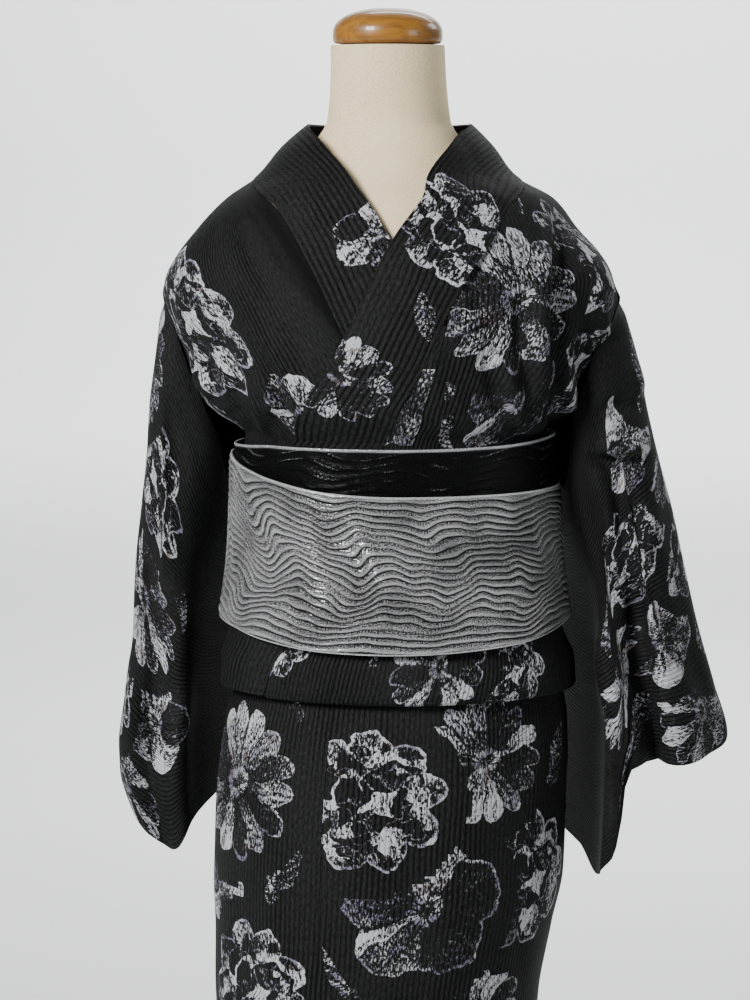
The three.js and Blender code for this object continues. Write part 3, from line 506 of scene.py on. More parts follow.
FRONT_CREASES = [  # x, z, x, z, bow, width, height
    (-150, 1225, -126, 1108, -9, 6, -6.0), (-160, 1185, -112, 1098, 7, 4.5, -4.5),
    (-136, 1176, -104, 1098, -5, 4.5, 5.0),
    (-122, 1160, -86, 1096, 5, 4, -4.4), (-108, 1180, -74, 1096, -9, 6, 4.0),
    (-146, 1150, -114, 1100, 3, 4, 4.4),
    (-98, 1150, -62, 1094, 7, 4.5, -3.4), (-88, 1220, -44, 1116, -12, 8, 2.8),
    (-164, 1212, -150, 1130, 4, 6, 4.0),
    (-70, 1180, -46, 1096, 4, 5, 2.6), (-128, 1262, -100, 1190, -7, 9, -2.4),
    (-104, 1128, -84, 1094, 3, 3, 3.0),
    (-132, 1132, -110, 1100, -3, 3, -3.6), (-56, 1150, -36, 1094, -3, 4, -1.8),
    (124, 1276, 121, 1090, 3, 4.5, -9.5), (112, 1266, 108, 1098, 3, 7, 4.6),
    (138, 1250, 152, 1150, -10, 9, 6.0),
    (92, 1210, 117, 1096, 9, 5, -4.0), (82, 1160, 102, 1094, 6, 4.5, 3.6), (66, 1180, 92, 1094, 7, 5, -3.0),
    (58, 1255, 80, 1160, 8, 9, -2.6), (144, 1190, 153, 1118, 6, 5, -6.0), (40, 1136, 74, 1092, 5, 4.5, 2.4),
    (-30, 1150, -14, 1096, 3, 5, -1.6), (22, 1180, 40, 1098, 4, 6, 2.2), (150, 1216, 164, 1160, -5, 6, 4.0),
    (100, 1140, 114, 1100, 3, 3, 3.0), (128, 1150, 136, 1112, 3, 4, 5.0),
    (-158, 1146, -122, 1118, 5, 3.5, 4.0), (-150, 1128, -112, 1106, -4, 3, -3.6),
    (-140, 1200, -132, 1150, 4, 4, -3.0),
    (-112, 1146, -96, 1118, -3, 3, 3.0), (-100, 1120, -80, 1098, 3, 2.6, -2.6),
    (-168, 1170, -140, 1140, 5, 4, -3.6)]
BACK_CREASES = [
    (-130, 1240, -90, 1100, 8, 9, 3.0), (-95, 1180, -70, 1096, -6, 6, -2.4),
    (-60, 1150, -48, 1096, 4, 5, 2.0),
    (-30, 1200, -22, 1100, 5, 8, -1.6), (128, 1235, 96, 1100, -8, 9, 3.2), (100, 1190, 76, 1098, 6, 6, -2.6),
    (62, 1160, 50, 1096, -4, 5, 2.2), (28, 1180, 24, 1098, 4, 7, 1.6), (-150, 1190, -128, 1110, 4, 6, -3.0),
    (150, 1185, 128, 1108, -4, 6, -3.0), (0, 1150, 4, 1096, 3, 5, -1.2)]
WAIST_CREASES = [
    (-118, 936, -108, 902, 2, 4, -1.2), (-96, 938, -90, 900, 2, 4, 1.0), (-74, 934, -70, 904, -2, 3, -1.0),
    (-52, 934, -56, 902, 2, 3, 0.9), (-20, 932, -18, 906, 2, 4, -0.9), (12, 934, 16, 900, -2, 3, 1.0),
    (40, 936, 38, 902, 3, 4, -1.2), (66, 936, 72, 900, -2, 4, 1.1), (92, 938, 90, 904, 2, 3, -1.2),
    (112, 940, 116, 904, 2, 4, 1.3), (-130, 938, -128, 904, -2, 3, 1.1), (54, 930, 30, 900, 4, 5, 1.0)]


def bodice_relief(angle, z):
    """Folds of the bodice, by its outline seen from the front or the back."""
    point = ring_point(TORSO, angle, z)
    front = step(np.cos(np.radians(angle)), -0.05, 0.2)
    from_right = (angle + 272) % 360 - 180
    shoulder = 5.5 * np.exp(-((z - 1204) / 22) ** 2 - (from_right / 36) ** 2)
    shown = step(z, 1092, 1112) * (1 - step(z, 1262, 1292))
    relief = creases(point[..., 0], z, FRONT_CREASES) * front + creases(point[..., 0], z,
                                                                        BACK_CREASES) * (1 - front)
    waist = creases(point[..., 0], z, WAIST_CREASES) * (1 - step(z, 936, 944))
    return shoulder + np.clip(FOLD_STRENGTH * relief, DEEPEST_FOLD, HIGHEST_FOLD) * shown + waist


def bodice_panel(name, node, columns, start, end, top, lifted, motifs, front_edge, fold_z=FOLD_Z,
                 first_z=BODICE_TOP):
    """One panel, from its top edge down to the waist fold and up behind it."""
    heights = np.concatenate([np.arange(first_z, FOLD_Z + 12, -3.2), [FOLD_Z + 9]])
    steps = np.arange(1, 9)
    share = np.linspace(0, 1, columns + 1)
    top = top(share)
    rows_out, rows_in, rows_uv = [], [], []
    drawn = (top - LEVEL_Z) / (BODICE_TOP - LEVEL_Z)
    for row in range(len(heights) + len(steps) + 4):
        on_face = row < len(heights)
        level = heights[row] if on_face else FOLD_Z
        edges = [LEVEL_Z + (level - LEVEL_Z) * at if level > LEVEL_Z else level for at in drawn[[0, -1]]]
        first, last = start(edges[0]), end(edges[1])
        angle = first + (last - first) * share
        lift = left_lift(angle) if lifted else 0 * angle
        radius = FOLD_RADIUS + (OVER_FOLD_RADIUS - FOLD_RADIUS) * lift / OVER
        middle = fold_z + radius
        back = row - len(heights) - len(steps)
        grid = []
        for depth in (0.0, CLOTH):
            if on_face:
                z = np.where(level > LEVEL_Z, LEVEL_Z + (level - LEVEL_Z) * drawn, np.maximum(level, middle))
                sunk = depth + 0 * angle
            elif back < 0:
                turn = math.pi * (row - len(heights) + 1) / len(steps)
                z = middle - (radius - depth) * math.sin(turn)
                sunk = radius - (radius - depth) * math.cos(turn)
            else:
                z = middle + (back + 1) * 6.5
                sunk = 2 * radius - depth
            grid.append(on_rings(TORSO, angle, z,
                                 lift - sunk + bodice_relief(angle, np.maximum(z, middle)) * (back < 0)))
        rows_out.append(grid[0])
        rows_in.append(grid[1])
        run = z if back < 0 else 2 * fold_z - z
        if not on_face and back < 0:
            run = fold_z + radius - radius * turn
        rows_uv.append(np.stack([np.radians(angle - front_edge(level)) * BODICE_MAP_RADIUS, run / 1000], -1))
    piece = shell(name, np.array(rows_out), np.array(rows_in), np.array(rows_uv), kimono_cloth, [node],
                  motifs)
    declare(piece)
    return piece


def right_edge(z):
    """The right front's edge along the collar."""
    return collar_where(RIGHT_COLLAR, SEWN_Z, z, SEWN_ANGLE) - 0.12


def okumi_angle(z):
    """The seam between the left front and its overlap."""
    return smooth([row[0] for row in OKUMI_SEAM], [row[1] for row in OKUMI_SEAM], z)


def collar_line(z):
    """The left collar's sewn edge."""
    return collar_where(LEFT_COLLAR, SEWN_Z, z, SEWN_ANGLE) + 360.12


def neck_edge(stretch, start, end, turns):
    """A panel's upper edge just under the collar."""
    return lambda share: collar_where(stretch, SEWN_ANGLE, start + (end - start) * share - turns,
                                      SEWN_Z) - 0.3


bodice_panel(
    "right_front", "bodice_front_right", 88, lambda z: -89.925, right_edge,
    neck_edge(RIGHT_COLLAR, -89.925, -14.2, 0), False,
    [(-0.137, 1.185, 0.052, 0, 20), (-0.165, 1.262, 0.034, 3, 60), (-0.060, 1.118, 0.030, 1, 10),
     (-0.19, 1.135, 0.030, 2, 0),
     (-0.115, 0.932, 0.034, 2, 30), (-0.165, 1.225, 0.018, 1, 0)],
    right_edge, fold_z=FOLD_Z + 5)
bodice_panel(
    "left_front", "bodice_front_left", 88, lambda z: okumi_angle(z) + 0.075, lambda z: 89.925,
    neck_edge(LEFT_COLLAR, 14.475, 89.925, 360), True,
    [(0.050, 1.205, 0.050, 2, 12), (0.128, 1.235, 0.040, 0, 40), (0.075, 1.128, 0.036, 1, 50),
     (0.14, 1.155, 0.040, 0, 5),
     (0.018, 1.150, 0.018, 3, 80), (0.100, 1.272, 0.026, 3, 20), (0.030, 1.105, 0.02, 3, 130),
     (0.085, 0.925, 0.036, 2, 60),
     (0.150, 0.918, 0.034, 0, 0), (0.045, 0.934, 0.018, 3, 20), (0.050, 1.268, 0.03, 0, 0),
     (0.165, 1.205, 0.024, 1, 0)],
    okumi_angle)
bodice_panel(
    "left_overlap", "okumi_left_upper", 40, collar_line, lambda z: okumi_angle(z) - 0.075,
    lambda share: 0 * share + BODICE_TOP, True,
    [(-0.025, 1.128, 0.034, 1, 30), (-0.06, 0.945, 0.03, 0, 0)],
    okumi_angle, first_z=FRONT_EDGE_Z)
for side, start in (("left", 90), ("right", 180)):
    bodice_panel(
        side + "_back", "bodice_back_" + side, 88, lambda z: start + 0.075, lambda z: start + 89.925,
        neck_edge(NECK_COLLAR, start + 0.075, start + 89.925, 360), False,
        [(-0.10, 1.2, 0.05, 0, 10), (-0.16, 1.14, 0.034, 2, 40),
         (-0.05, 1.13, 0.03, 3, 60)] if side == "left" else
        [(0.09, 1.21, 0.05, 2, 30), (0.16, 1.15, 0.036, 1, 0), (0.045, 1.14, 0.028, 3, 120)],
        lambda z: 180)


# Collar: one long strip of the same cloth, folded double and sewn along its outer edge. It runs from under
# the left front round the neck and down over the right front into the obi.
share = np.linspace(0.03, 1, 420)[None, :]
across = np.linspace(0, 1, 17)[:, None]
columns = [smooth(COLLAR_PATH[:, SHARE], COLLAR_PATH[:, i], share) for i in range(1, 6)]
angle = columns[0] + (columns[2] - columns[0]) * across
height = columns[1] + (columns[3] - columns[1]) * across
crown = 0.5 * np.sin(np.pi * across) ** 0.5
COLLAR_CREASES = [  # share, place across, width, height
    (0.19, 0.4, 0.010, -0.7), (0.225, 0.6, 0.008, 0.6), (0.26, 0.5, 0.010, -0.8), (0.64, 0.5, 0.008, -0.7),
    (0.69, 0.4, 0.010, 0.5), (0.80, 0.5, 0.012, -0.6), (0.865, 0.6, 0.010, 0.6), (0.885, 0.5, 0.008, -0.8),
    (0.42, 0.5, 0.012, 0.7), (0.48, 0.4, 0.010, -0.7)]
ripple = sum(high * np.exp(-((share - at - 0.02 * (across - middle)) / width) ** 2)
             for at, middle, width, high in COLLAR_CREASES)
outer = on_rings(TORSO, angle, height, columns[4] + crown + ripple - 0.3)
inner = on_rings(TORSO, angle, height, columns[4] - 2.4 + ripple)
length = np.concatenate([[0], np.cumsum(np.linalg.norm(np.diff(outer[8], axis=0), axis=-1))]) / 1000
collar_uv = np.stack([np.broadcast_to(across * 0.052, outer.shape[:2]),
                      np.broadcast_to(length[None, :], outer.shape[:2])], -1)
collar = shell("collar_band", outer, inner, collar_uv, kimono_cloth, ["collar"],
               [(0.034, 0.690, 0.040, 0, 0), (0.008, 0.128, 0.024, 1, 20), (0.010, 0.835, 0.030, 2, 0),
                (0.040, 0.765, 0.016, 3, 60), (0.030, 0.42, 0.03, 2, 0)])
declare(collar)


# Skirt: four panels and two overlaps of the same cloth, which hang from under the obi. The left front lies
# over the right one, and its free corner is drawn up a little.
SKIRT = np.array([  # z, middle x, middle y, half width, half depth
    (985, -2, -8, 117, 93), (940, -1, -8, 122, 97), (905, 0, -6, 129, 102.1), (890, 0, -6, 132.5, 105.4),
    (868, -1, -6, 137, 110), (800, -5, -5, 141, 114), (745, -7, -4, 141, 114), (700, -11, -3, 136, 112),
    (640, -16, -2, 131, 109), (400, -17, 0, 121, 101), (45, -18, 0, 112, 93)], float)
SKIRT_CREASES = [  # x, z, x, z, bow, width, height
    (-118, 880, -122, 500, 3, 8, -1.8), (-96, 870, -104, 560, -4, 10, 1.2), (60, 880, 40, 560, 6, 14, 1.6),
    (98, 870, 92, 420, -5, 10, -2.0), (112, 880, 108, 640, 4, 7, 1.8), (20, 880, 10, 640, 5, 12, -1.2),
    (-20, 860, -30, 300, 6, 16, 1.0), (84, 640, 70, 120, 5, 14, 1.6), (-80, 480, -70, 80, -6, 14, -1.4),
    (40, 420, 34, 70, 6, 16, -1.6), (-110, 420, -100, 90, 4, 10, 1.6), (104, 420, 92, 80, -4, 9, 1.4)]
SKIRT_BACK_CREASES = [
    (-90, 880, -80, 420, 5, 12, 2.0), (-40, 880, -36, 500, -5, 10, -1.8), (10, 880, 4, 460, 6, 12, 1.6),
    (60, 880, 52, 400, -6, 12, -2.0), (100, 880, 92, 520, 5, 9, 2.0), (-60, 420, -54, 80, 4, 14, -1.8),
    (30, 400, 24, 70, -5, 14, 2.0), (84, 380, 76, 90, 4, 12, -1.6), (-110, 620, -100, 200, 4, 10, 1.6)]
OKUMI_EDGE, OKUMI, SIDE = -86, -22.5, 81
WAIST, HEM, SKIRT_MAP_RADIUS = 985, 45, 0.125


def skirt_panel(name, node, start, end, out, motifs, hem_rise=0, seam=0):
    """One panel from under the obi to the hem, with its folds and a turned hem."""
    columns = max(24, int(abs(end - start) * 0.55))
    angle = np.linspace(start, end, columns + 1)[None, :]
    share = np.linspace(0, 1, columns + 1)[None, :]
    hem = HEM + hem_rise * (1 - share) ** 2
    height = WAIST + (hem - WAIST) * np.linspace(0, 1, 165)[:, None]
    point = ring_point(SKIRT, angle + 0 * height, height)
    front = step(np.cos(np.radians(angle)), -0.1, 0.1)
    folds = (creases(point[..., 0], height, SKIRT_CREASES) * front
             + creases(point[..., 0], height, SKIRT_BACK_CREASES) * (1 - front)) * (1 - step(height, 880,
                                                                                             915))
    hem_edge = 0.5 * (1 - step(height - hem, 14, 18))
    outer = on_rings(SKIRT, angle, height, out(angle) + folds + hem_edge)
    inner = on_rings(SKIRT, angle, height, out(angle) + folds - CLOTH)
    uv = np.stack([np.radians(angle - seam) * SKIRT_MAP_RADIUS + 0 * height, height / 1000 + 0 * angle], -1)
    piece = shell(name, outer, inner, uv, kimono_cloth, [node], motifs)
    declare(piece)
    return piece


def back_out(angle):
    """The back hangs ever further inside from the left side seam to the right one."""
    return -3 * (angle - SIDE) / (360 - 2 * SIDE)


skirt_panel("left_skirt_overlap", "okumi_left_skirt", OKUMI_EDGE, OKUMI - 0.075, lambda a: 0 * a,
            [(-0.085, 0.825, 0.055, 2, 10), (-0.030, 0.765, 0.03, 3, 70), (-0.06, 0.66, 0.05, 0, 0),
             (-0.105, 0.735, 0.03, 1, 0),
             (-0.06, 0.5, 0.05, 2, 0), (-0.03, 0.38, 0.03, 3, 40), (-0.09, 0.3, 0.05, 0, 30),
             (-0.04, 0.18, 0.05, 1, 0),
             (-0.045, 0.875, 0.022, 1, 30)],
            hem_rise=14, seam=OKUMI)
skirt_panel("left_skirt", "skirt_front_left", OKUMI + 0.075, SIDE - 0.075, lambda a: 0 * a,
            [(0.03, 0.82, 0.05, 0, 15), (0.115, 0.85, 0.045, 2, 0), (0.075, 0.735, 0.052, 1, 40),
             (0.16, 0.75, 0.05, 0, 0),
             (0.02, 0.69, 0.03, 3, 110), (0.12, 0.64, 0.05, 2, 20), (0.045, 0.6, 0.05, 0, 60),
             (0.19, 0.84, 0.03, 3, 60),
             (0.07, 0.865, 0.02, 3, 20), (0.1, 0.48, 0.06, 1, 0), (0.04, 0.36, 0.05, 2, 0),
             (0.15, 0.33, 0.05, 0, 0),
             (0.08, 0.19, 0.06, 2, 0), (0.17, 0.18, 0.04, 3, 50)],
            seam=OKUMI)
skirt_panel("left_back_skirt", "skirt_back_left", SIDE + 0.075, 179.925, back_out,
            [(0.05, 0.8, 0.05, 0, 0), (0.14, 0.74, 0.05, 2, 0), (0.07, 0.6, 0.06, 1, 0),
             (0.15, 0.5, 0.05, 0, 0),
             (0.05, 0.4, 0.04, 3, 40), (0.13, 0.3, 0.06, 2, 0), (0.06, 0.17, 0.05, 0, 0)], seam=SIDE)
skirt_panel("right_back_skirt", "skirt_back_right", 180.075, 360 - SIDE - 0.075, back_out,
            [(0.06, 0.78, 0.05, 2, 0), (0.15, 0.7, 0.05, 0, 0), (0.07, 0.56, 0.06, 0, 0),
             (0.15, 0.45, 0.05, 1, 0),
             (0.06, 0.34, 0.05, 2, 0), (0.14, 0.24, 0.05, 3, 70), (0.07, 0.15, 0.05, 1, 0)], seam=180)
skirt_panel("right_skirt", "skirt_front_right", -SIDE + 0.075, -OKUMI - 0.075, lambda a: -3 + 0 * a,
            [(-0.12, 0.8, 0.04, 0, 0), (-0.12, 0.6, 0.05, 2, 0), (-0.12, 0.4, 0.05, 1, 0)], seam=-OKUMI)
skirt_panel("right_skirt_overlap", "okumi_right_skirt", -OKUMI + 0.075, SIDE - 1, lambda a: -3 + 0 * a,
            [(0.06, 0.7, 0.04, 0, 0), (0.06, 0.4, 0.05, 2, 0)], seam=-OKUMI)


# Sleeves: each is one width of cloth sewn into a wide bag that hangs straight down from the shoulder, as
# there is no arm in it, open at the bottom and at the body. The ribs run round the sleeve.
BESIDE = np.concatenate([TORSO[:6], np.array([
    (1216, -6, -2, 174, 112), (1182, -6, -3, 169, 115), (1150, -5, -4, 160, 117), (1121, -4, -5, 151, 118),
    (1085, -1, -5, 142, 118), (1020, -1, -5, 141, 118), (951, 0, -5, 147, 119), (900, 0, -5, 149, 119),
    (730, 0, -5, 152, 120)], float)])
RIGHT_SLEEVE = {
    "side": -1, "middle": 36, "half_depth": 60, "set": 7.6,
    "outline": [(1226, 181), (1182, 185), (1114, 194), (1077, 197), (988, 207.5), (923, 210), (892, 213.5),
                (845, 222), (822, 221), (790, 211), (760, 199)],  # height, distance from the middle
    "cuff": [(-180, 800), (-128, 784), (-88, 761), (-58, 772), (-34, 805), (-16, 850), (0, 892), (18, 842),
             (44, 802), (90, 772), (135, 786), (180, 800)],  # turn, height
    "folds": [(-112, 20, 0, 0.08), (-78, 15, -0.03, -0.16), (-48, 14, 0, 0.1), (-22, 11, -0.02, -0.08),
              (40, 15, -0.03, -0.2), (78, 16, 0, 0.1), (118, 16, -0.02, -0.14)]}  # turn, width, top, bottom
LEFT_SLEEVE = {
    "side": 1, "middle": 22, "half_depth": 76, "set": 9.1,
    "outline": [(1226, 170), (1197, 176), (1151, 189), (1123, 194), (1077, 205), (1031, 218), (993, 226.5),
                (944, 238), (892, 253), (849, 264.5), (790, 258), (735, 240)],
    "cuff": [(-180, 756), (-150, 741), (-122, 753), (-113, 762), (-106, 832), (-96, 838), (-66, 836),
             (-38, 841), (-14, 852),
             (0, 890), (16, 846), (60, 806), (110, 772), (180, 756)],
    "folds": [(-122, 15, 0, 0.14), (-92, 13, -0.06, -0.3), (-64, 12, 0.02, 0.08), (-40, 12, 0, -0.07),
              (36, 15, 0, -0.2), (74, 15, 0, 0.1), (112, 16, -0.03, -0.18)]}
RIGHT_SLEEVE_CREASES = [  # x, z, x, z, bow, width, height
    (-178, 1150, -170, 1000, 5, 5, -2.4), (-190, 1120, -186, 960, -5, 5, 2.0),
    (-172, 1060, -190, 900, 6, 6, 1.8),
    (-200, 1030, -206, 880, -4, 6, -1.8), (-180, 960, -196, 820, 5, 7, -2.4),
    (-168, 900, -176, 790, 4, 6, 2.2),
    (-206, 930, -214, 850, 3, 5, 1.6)]
LEFT_SLEEVE_CREASES = [
    (150, 1130, 178, 1000, 10, 8, 3.0), (128, 1110, 150, 1070, -12, 7, -3.0),
    (168, 1120, 206, 960, 10, 8, -3.0),
    (190, 1100, 226, 940, 8, 7, 2.4), (150, 1060, 186, 900, 8, 9, -3.0), (196, 1030, 236, 880, 6, 8, -2.0),
    (168, 960, 190, 830, 5, 8, 2.6), (214, 940, 250, 860, 5, 7, 2.0), (176, 900, 178, 800, 4, 6, -2.4),
    (176, 1152, 186, 1122, -6, 5, 2.6), (186, 1122, 150, 1102, 10, 5, -5.0),
    (140, 1088, 196, 1086, 3, 4, 4.0),
    (142, 1078, 196, 1076, 2, 4, -4.5), (128, 1068, 154, 950, 5, 6, 4.0), (154, 950, 192, 830, 5, 7, 3.6),
    (188, 1070, 190, 850, 2, 5, -3.4)]
SLEEVE_FRONT_STRENGTH, SLEEVE_BACK_STRENGTH = 1.9, 0.8
SLEEVE_COLUMNS, SLEEVE_ROWS = 200, 130


def beside(side, y, z):
    """Distance from the middle plane to the side of what a sleeve lies against."""
    x, middle, half_width, half_depth = (smooth(BESIDE[:, 0], BESIDE[:, i], z) for i in range(1, 5))
    return half_width * (1 - ((y - middle) / half_depth) ** 2 / 2) + side * x


def sleeve_point(sleeve, turn, share):
    """A point in mm of the hanging bag: turn 0 is its outer fold, -90 the front and 180 beside the body."""
    across = np.radians(turn)
    cuff = smooth([row[0] for row in sleeve["cuff"]], [row[1] for row in sleeve["cuff"]], turn)
    z = 1135 + 87 * np.cos(across) + (cuff - 1135 - 87 * np.cos(across)) * share
    swell = 1 + sum((top + (bottom - top) * share) * np.exp(-((turn - at) / width) ** 2)
                    for at, width, top, bottom in sleeve["folds"])
    free = step(share, -0.14, 0.3)
    open_share = free + (1 - free) * np.maximum(0, np.cos(across)) ** 2
    y = sleeve["middle"] + sleeve["half_depth"] * (0.75 + 0.25 * open_share) * swell * np.sin(across)
    gap = 1.9 - sleeve["set"] * (1 - step(share, 0, 0.3))
    reach = smooth([row[0] for row in sleeve["outline"]], [row[1] for row in sleeve["outline"]], z)
    width = reach - beside(sleeve["side"], sleeve["middle"], z) - gap
    outward = width * open_share * np.maximum(0, 1 + swell * np.cos(across)) / 2
    reach = beside(sleeve["side"], y, z) + gap + outward
    x, middle, half_width, half_depth = (smooth(TORSO[:, 0], TORSO[:, i], z) for i in range(1, 5))
    off_middle = np.clip((y - middle) / half_depth, -0.94, 0.94)
    body_angle = sleeve["side"] * np.degrees(np.arccos(-off_middle))
    body = half_width * np.sqrt(1 - off_middle ** 2) + sleeve["side"] * x
    body = body + 1.6 + np.maximum(bodice_relief(body_angle, z), 0)
    sewn = (1 - step(share, 0, 0.09)) * step(z, 1118, 1150)
    reach = reach + (body - reach) * sewn
    return np.stack([sleeve["side"] * reach, y, z], -1)


def sleeve_piece(name, node, sleeve, table, motifs):
    """The bag with its folds, inner face and cloth map."""
    turn = np.linspace(-180, 180, SLEEVE_COLUMNS + 1)[None, :-1]
    share = np.linspace(0, 1, SLEEVE_ROWS + 1)[:, None]
    turn, share = np.broadcast_arrays(turn, share)
    base = sleeve_point(sleeve, turn, share)
    around = sleeve_point(sleeve, turn + 0.5, share) - sleeve_point(sleeve, turn - 0.5, share)
    down = sleeve_point(sleeve, turn, share + 0.01) - sleeve_point(sleeve, turn, share - 0.01)
    outward = np.cross(down, around) * sleeve["side"]
    outward /= np.linalg.norm(outward, axis=-1, keepdims=True)
    in_front = step(-turn, 4, 30) * (1 - step(-turn, 118, 150))
    behind = step(turn, 4, 30) * (1 - step(turn, 118, 150))
    flare = step(share, 0.05, 0.25)
    folds = SLEEVE_FRONT_STRENGTH * creases(base[..., 0], base[..., 2], table) * in_front
    folds = folds + SLEEVE_BACK_STRENGTH * creases(base[..., 0], base[..., 2] + 20, table) * behind
    outer = base + outward * (folds * flare)[..., None]
    inner = outer - outward * CLOTH
    around_length = np.linalg.norm(np.diff(base, axis=1, append=base[:, :1]), axis=-1).mean(0)
    u = np.concatenate([[0], np.cumsum(around_length)]) / 1000
    u -= u[SLEEVE_COLUMNS // 2]
    v = np.linspace(1.15, 0.77, SLEEVE_ROWS + 1)
    uv = np.stack(np.broadcast_arrays(u[None, :], v[:, None]), -1)
    piece = shell(name, outer, inner, uv, sleeve_cloth, [node], motifs, ring=True)
    declare(piece)


sleeve_cloth = crinkle_cloth("sleeve_cloth", along="U")
sleeve_piece("right_sleeve", "sleeve_right", RIGHT_SLEEVE, RIGHT_SLEEVE_CREASES,
             [(-0.045, 1.09, 0.040, 2, 0), (-0.105, 1.035, 0.036, 0, 30), (-0.035, 1.0, 0.034, 1, 80),
              (-0.095, 0.945, 0.044, 2, 20),
              (-0.03, 0.915, 0.036, 3, 60), (-0.055, 0.86, 0.036, 0, 0), (-0.125, 0.87, 0.036, 1, 0),
              (-0.085, 0.80, 0.034, 2, 40),
              (-0.022, 0.80, 0.03, 3, 40), (-0.02, 1.05, 0.018, 1, 0), (-0.15, 0.97, 0.022, 3, 100),
              (0.05, 1.05, 0.05, 0, 0), (0.07, 0.92, 0.05, 2, 0), (0.05, 0.83, 0.04, 1, 0)])
sleeve_piece("left_sleeve", "sleeve_left", LEFT_SLEEVE, LEFT_SLEEVE_CREASES,
             [(-0.04, 1.09, 0.036, 3, 60), (-0.09, 1.055, 0.036, 1, 10), (-0.04, 1.01, 0.036, 2, 0),
              (-0.12, 0.985, 0.05, 0, 10),
              (-0.045, 0.935, 0.036, 0, 0), (-0.17, 0.90, 0.036, 2, 0), (-0.10, 0.885, 0.04, 1, 30),
              (-0.035, 0.86, 0.034, 3, 130),
              (-0.075, 0.81, 0.04, 2, 60), (-0.15, 0.82, 0.036, 3, 30), (-0.02, 0.80, 0.026, 1, 0),
              (-0.19, 0.98, 0.028, 3, 90),
              (0.06, 1.04, 0.05, 2, 0), (0.08, 0.92, 0.05, 0, 0), (0.05, 0.83, 0.04, 3, 0)])


# Obi: a stiff narrow sash of black silk, wound round twice. The under wrap shows its quilted inside with a
# metal edge; the outer wrap is covered with embossed waves in silver thread.
OBI = np.array([  # z, middle x, middle y, half width, half depth
    (1100, -2, -8, 125.5, 104), (1040, -2, -8, 126.5, 104.5), (1000, -2, -8, 128.5, 105.5),
    (951, -2, -8, 135.5, 108.5), (930, -1, -8, 141, 114)], float)
OBI_EDGES = np.array([  # angle, top, outer wrap's top, bottom
    (-180, 1092, 1078, 954), (-95, 1088, 1081, 951), (-66, 1090, 1073, 947), (-48, 1092, 1066, 941),
    (-22, 1092, 1058, 935), (0, 1092, 1056, 934), (40, 1093, 1056, 938), (85, 1097, 1057, 951),
    (180, 1092, 1078, 954)], float)
TOP, OUTER_TOP, BOTTOM = 1, 2, 3
UNDER_MAP_RADIUS, OUTER_MAP_RADIUS = 0.125, 0.13


def obi_edge(column, angle):
    """An edge of the obi round the body."""
    return smooth(OBI_EDGES[:, 0], OBI_EDGES[:, column], angle)


def thread_metal(name, bright, dark, filled):
    """Woven metal thread over black, with coloured painted glints. Filled is 1 where thread covers the cloth, or 0.
    """
    material, tree, shader = new_material(name)
    cloth = add_node(tree, "ShaderNodeUVMap", uv_map="cloth").outputs[0]
    place = add_node(tree, "ShaderNodeAttribute", attribute_name="thread_place").outputs["Vector"]
    place = add_node(tree, "ShaderNodeSeparateXYZ", Vector=place).outputs
    down = calc(tree, "FRACT", place["X"])
    rise = times(tree, ramp(tree, down, 0.0, 0.62, 0.34, 1.0), ramp(tree, down, 0.70, 0.84, 1.0, 0.0))
    level = calc(tree, "MAXIMUM", rise, ramp(tree, down, 0.90, 1.0, 0.0, 0.34))
    slow = stretch(tree, cloth, (26.0, 75.0, 1.0))
    slow = noise(tree, slow, 1.0, 2.0)
    strength = ramp(tree, slow, 0.33, 0.56, 0.45, 1.0)
    level = calc(tree, "MULTIPLY_ADD", minus(tree, level, 0.5), strength, 0.5)
    thread = stretch(tree, cloth, (900.0, 1150.0, 1.0))
    weave = noise(tree, thread, 1.0, 2.0, Roughness=0.6)
    weave = ramp(tree, weave, 0.40, 0.60)
    haze = noise(tree, cloth, 24.0, 2.0)
    spark = add_node(tree, "ShaderNodeTexVoronoi", Vector=thread, Scale=0.8).outputs["Color"]
    # The thread's share follows its speckle and the wave height; the height part is painted highlight on the crests
    # and painted shade in the grooves.
    share = calc(tree, "MULTIPLY_ADD", weave, 0.56, times(tree, level, 0.66))
    cover = times(tree, ramp(tree, share, 0.44, 1.0), ramp(tree, haze, 0.32, 0.6, 0.5, 1.0))
    cover = times(tree, cover, filled)
    # Painted glints: bright metal flecks only along the crest of each wave, where it catches the light.
    glints = times(tree, ramp(tree, weave, 0.93, 1.0), ramp(tree, haze, 0.50, 0.62, 0.0, 0.6))
    glints = times(tree, glints, ramp(tree, calc(tree, "ABSOLUTE", minus(tree, down, 0.62)), 0.02, 0.12, 1.0,
                                      0.0))
    cover = calc(tree, "MAXIMUM", calc(tree, "MAXIMUM", cover, glints), place["Y"])
    glint = add_node(tree, "ShaderNodeHueSaturation", Saturation=0.4, Value=1.0, Color=spark).outputs[0]
    metal = blend_colour(tree, 0.14, bright, glint)
    tree.links.new(blend_colour(tree, cover, dark, metal), shader.inputs["Base Color"])
    tree.links.new(times(tree, cover, 0.6), shader.inputs["Metallic"])
    tree.links.new(ramp(tree, weave, 0.2, 0.8, 0.42, 0.2), shader.inputs["Roughness"])
    shader.inputs["Specular IOR Level"].default_value = 0.1
    height = calc(tree, "MULTIPLY_ADD", level, 1.2, times(tree, weave, 0.8))
    set_bump(tree, shader, height, 1.0, 0.0011)
    return material


def add_threads(piece, phase, shine):
    """Stores how far down its wave each point lies and how solid the metal is there."""
    values = np.zeros((len(piece.data.vertices), 3))
    values[:phase.size, 0] = phase.ravel()
    values[:phase.size, 1] = np.broadcast_to(shine, phase.shape).ravel()
    piece.data.attributes.new("thread_place", "FLOAT_VECTOR", "POINT").data.foreach_set("vector",
                                                                                        values.ravel())


def emboss(phase):
    """Height of the waves: a slow rise and a sharp drop into a narrow groove."""
    down = phase % 1
    return np.maximum((0.34 + 0.66 * step(down, 0, 0.62)) * (1 - step(down, 0.70, 0.86)),
                      0.34 * step(down, 0.88, 1))


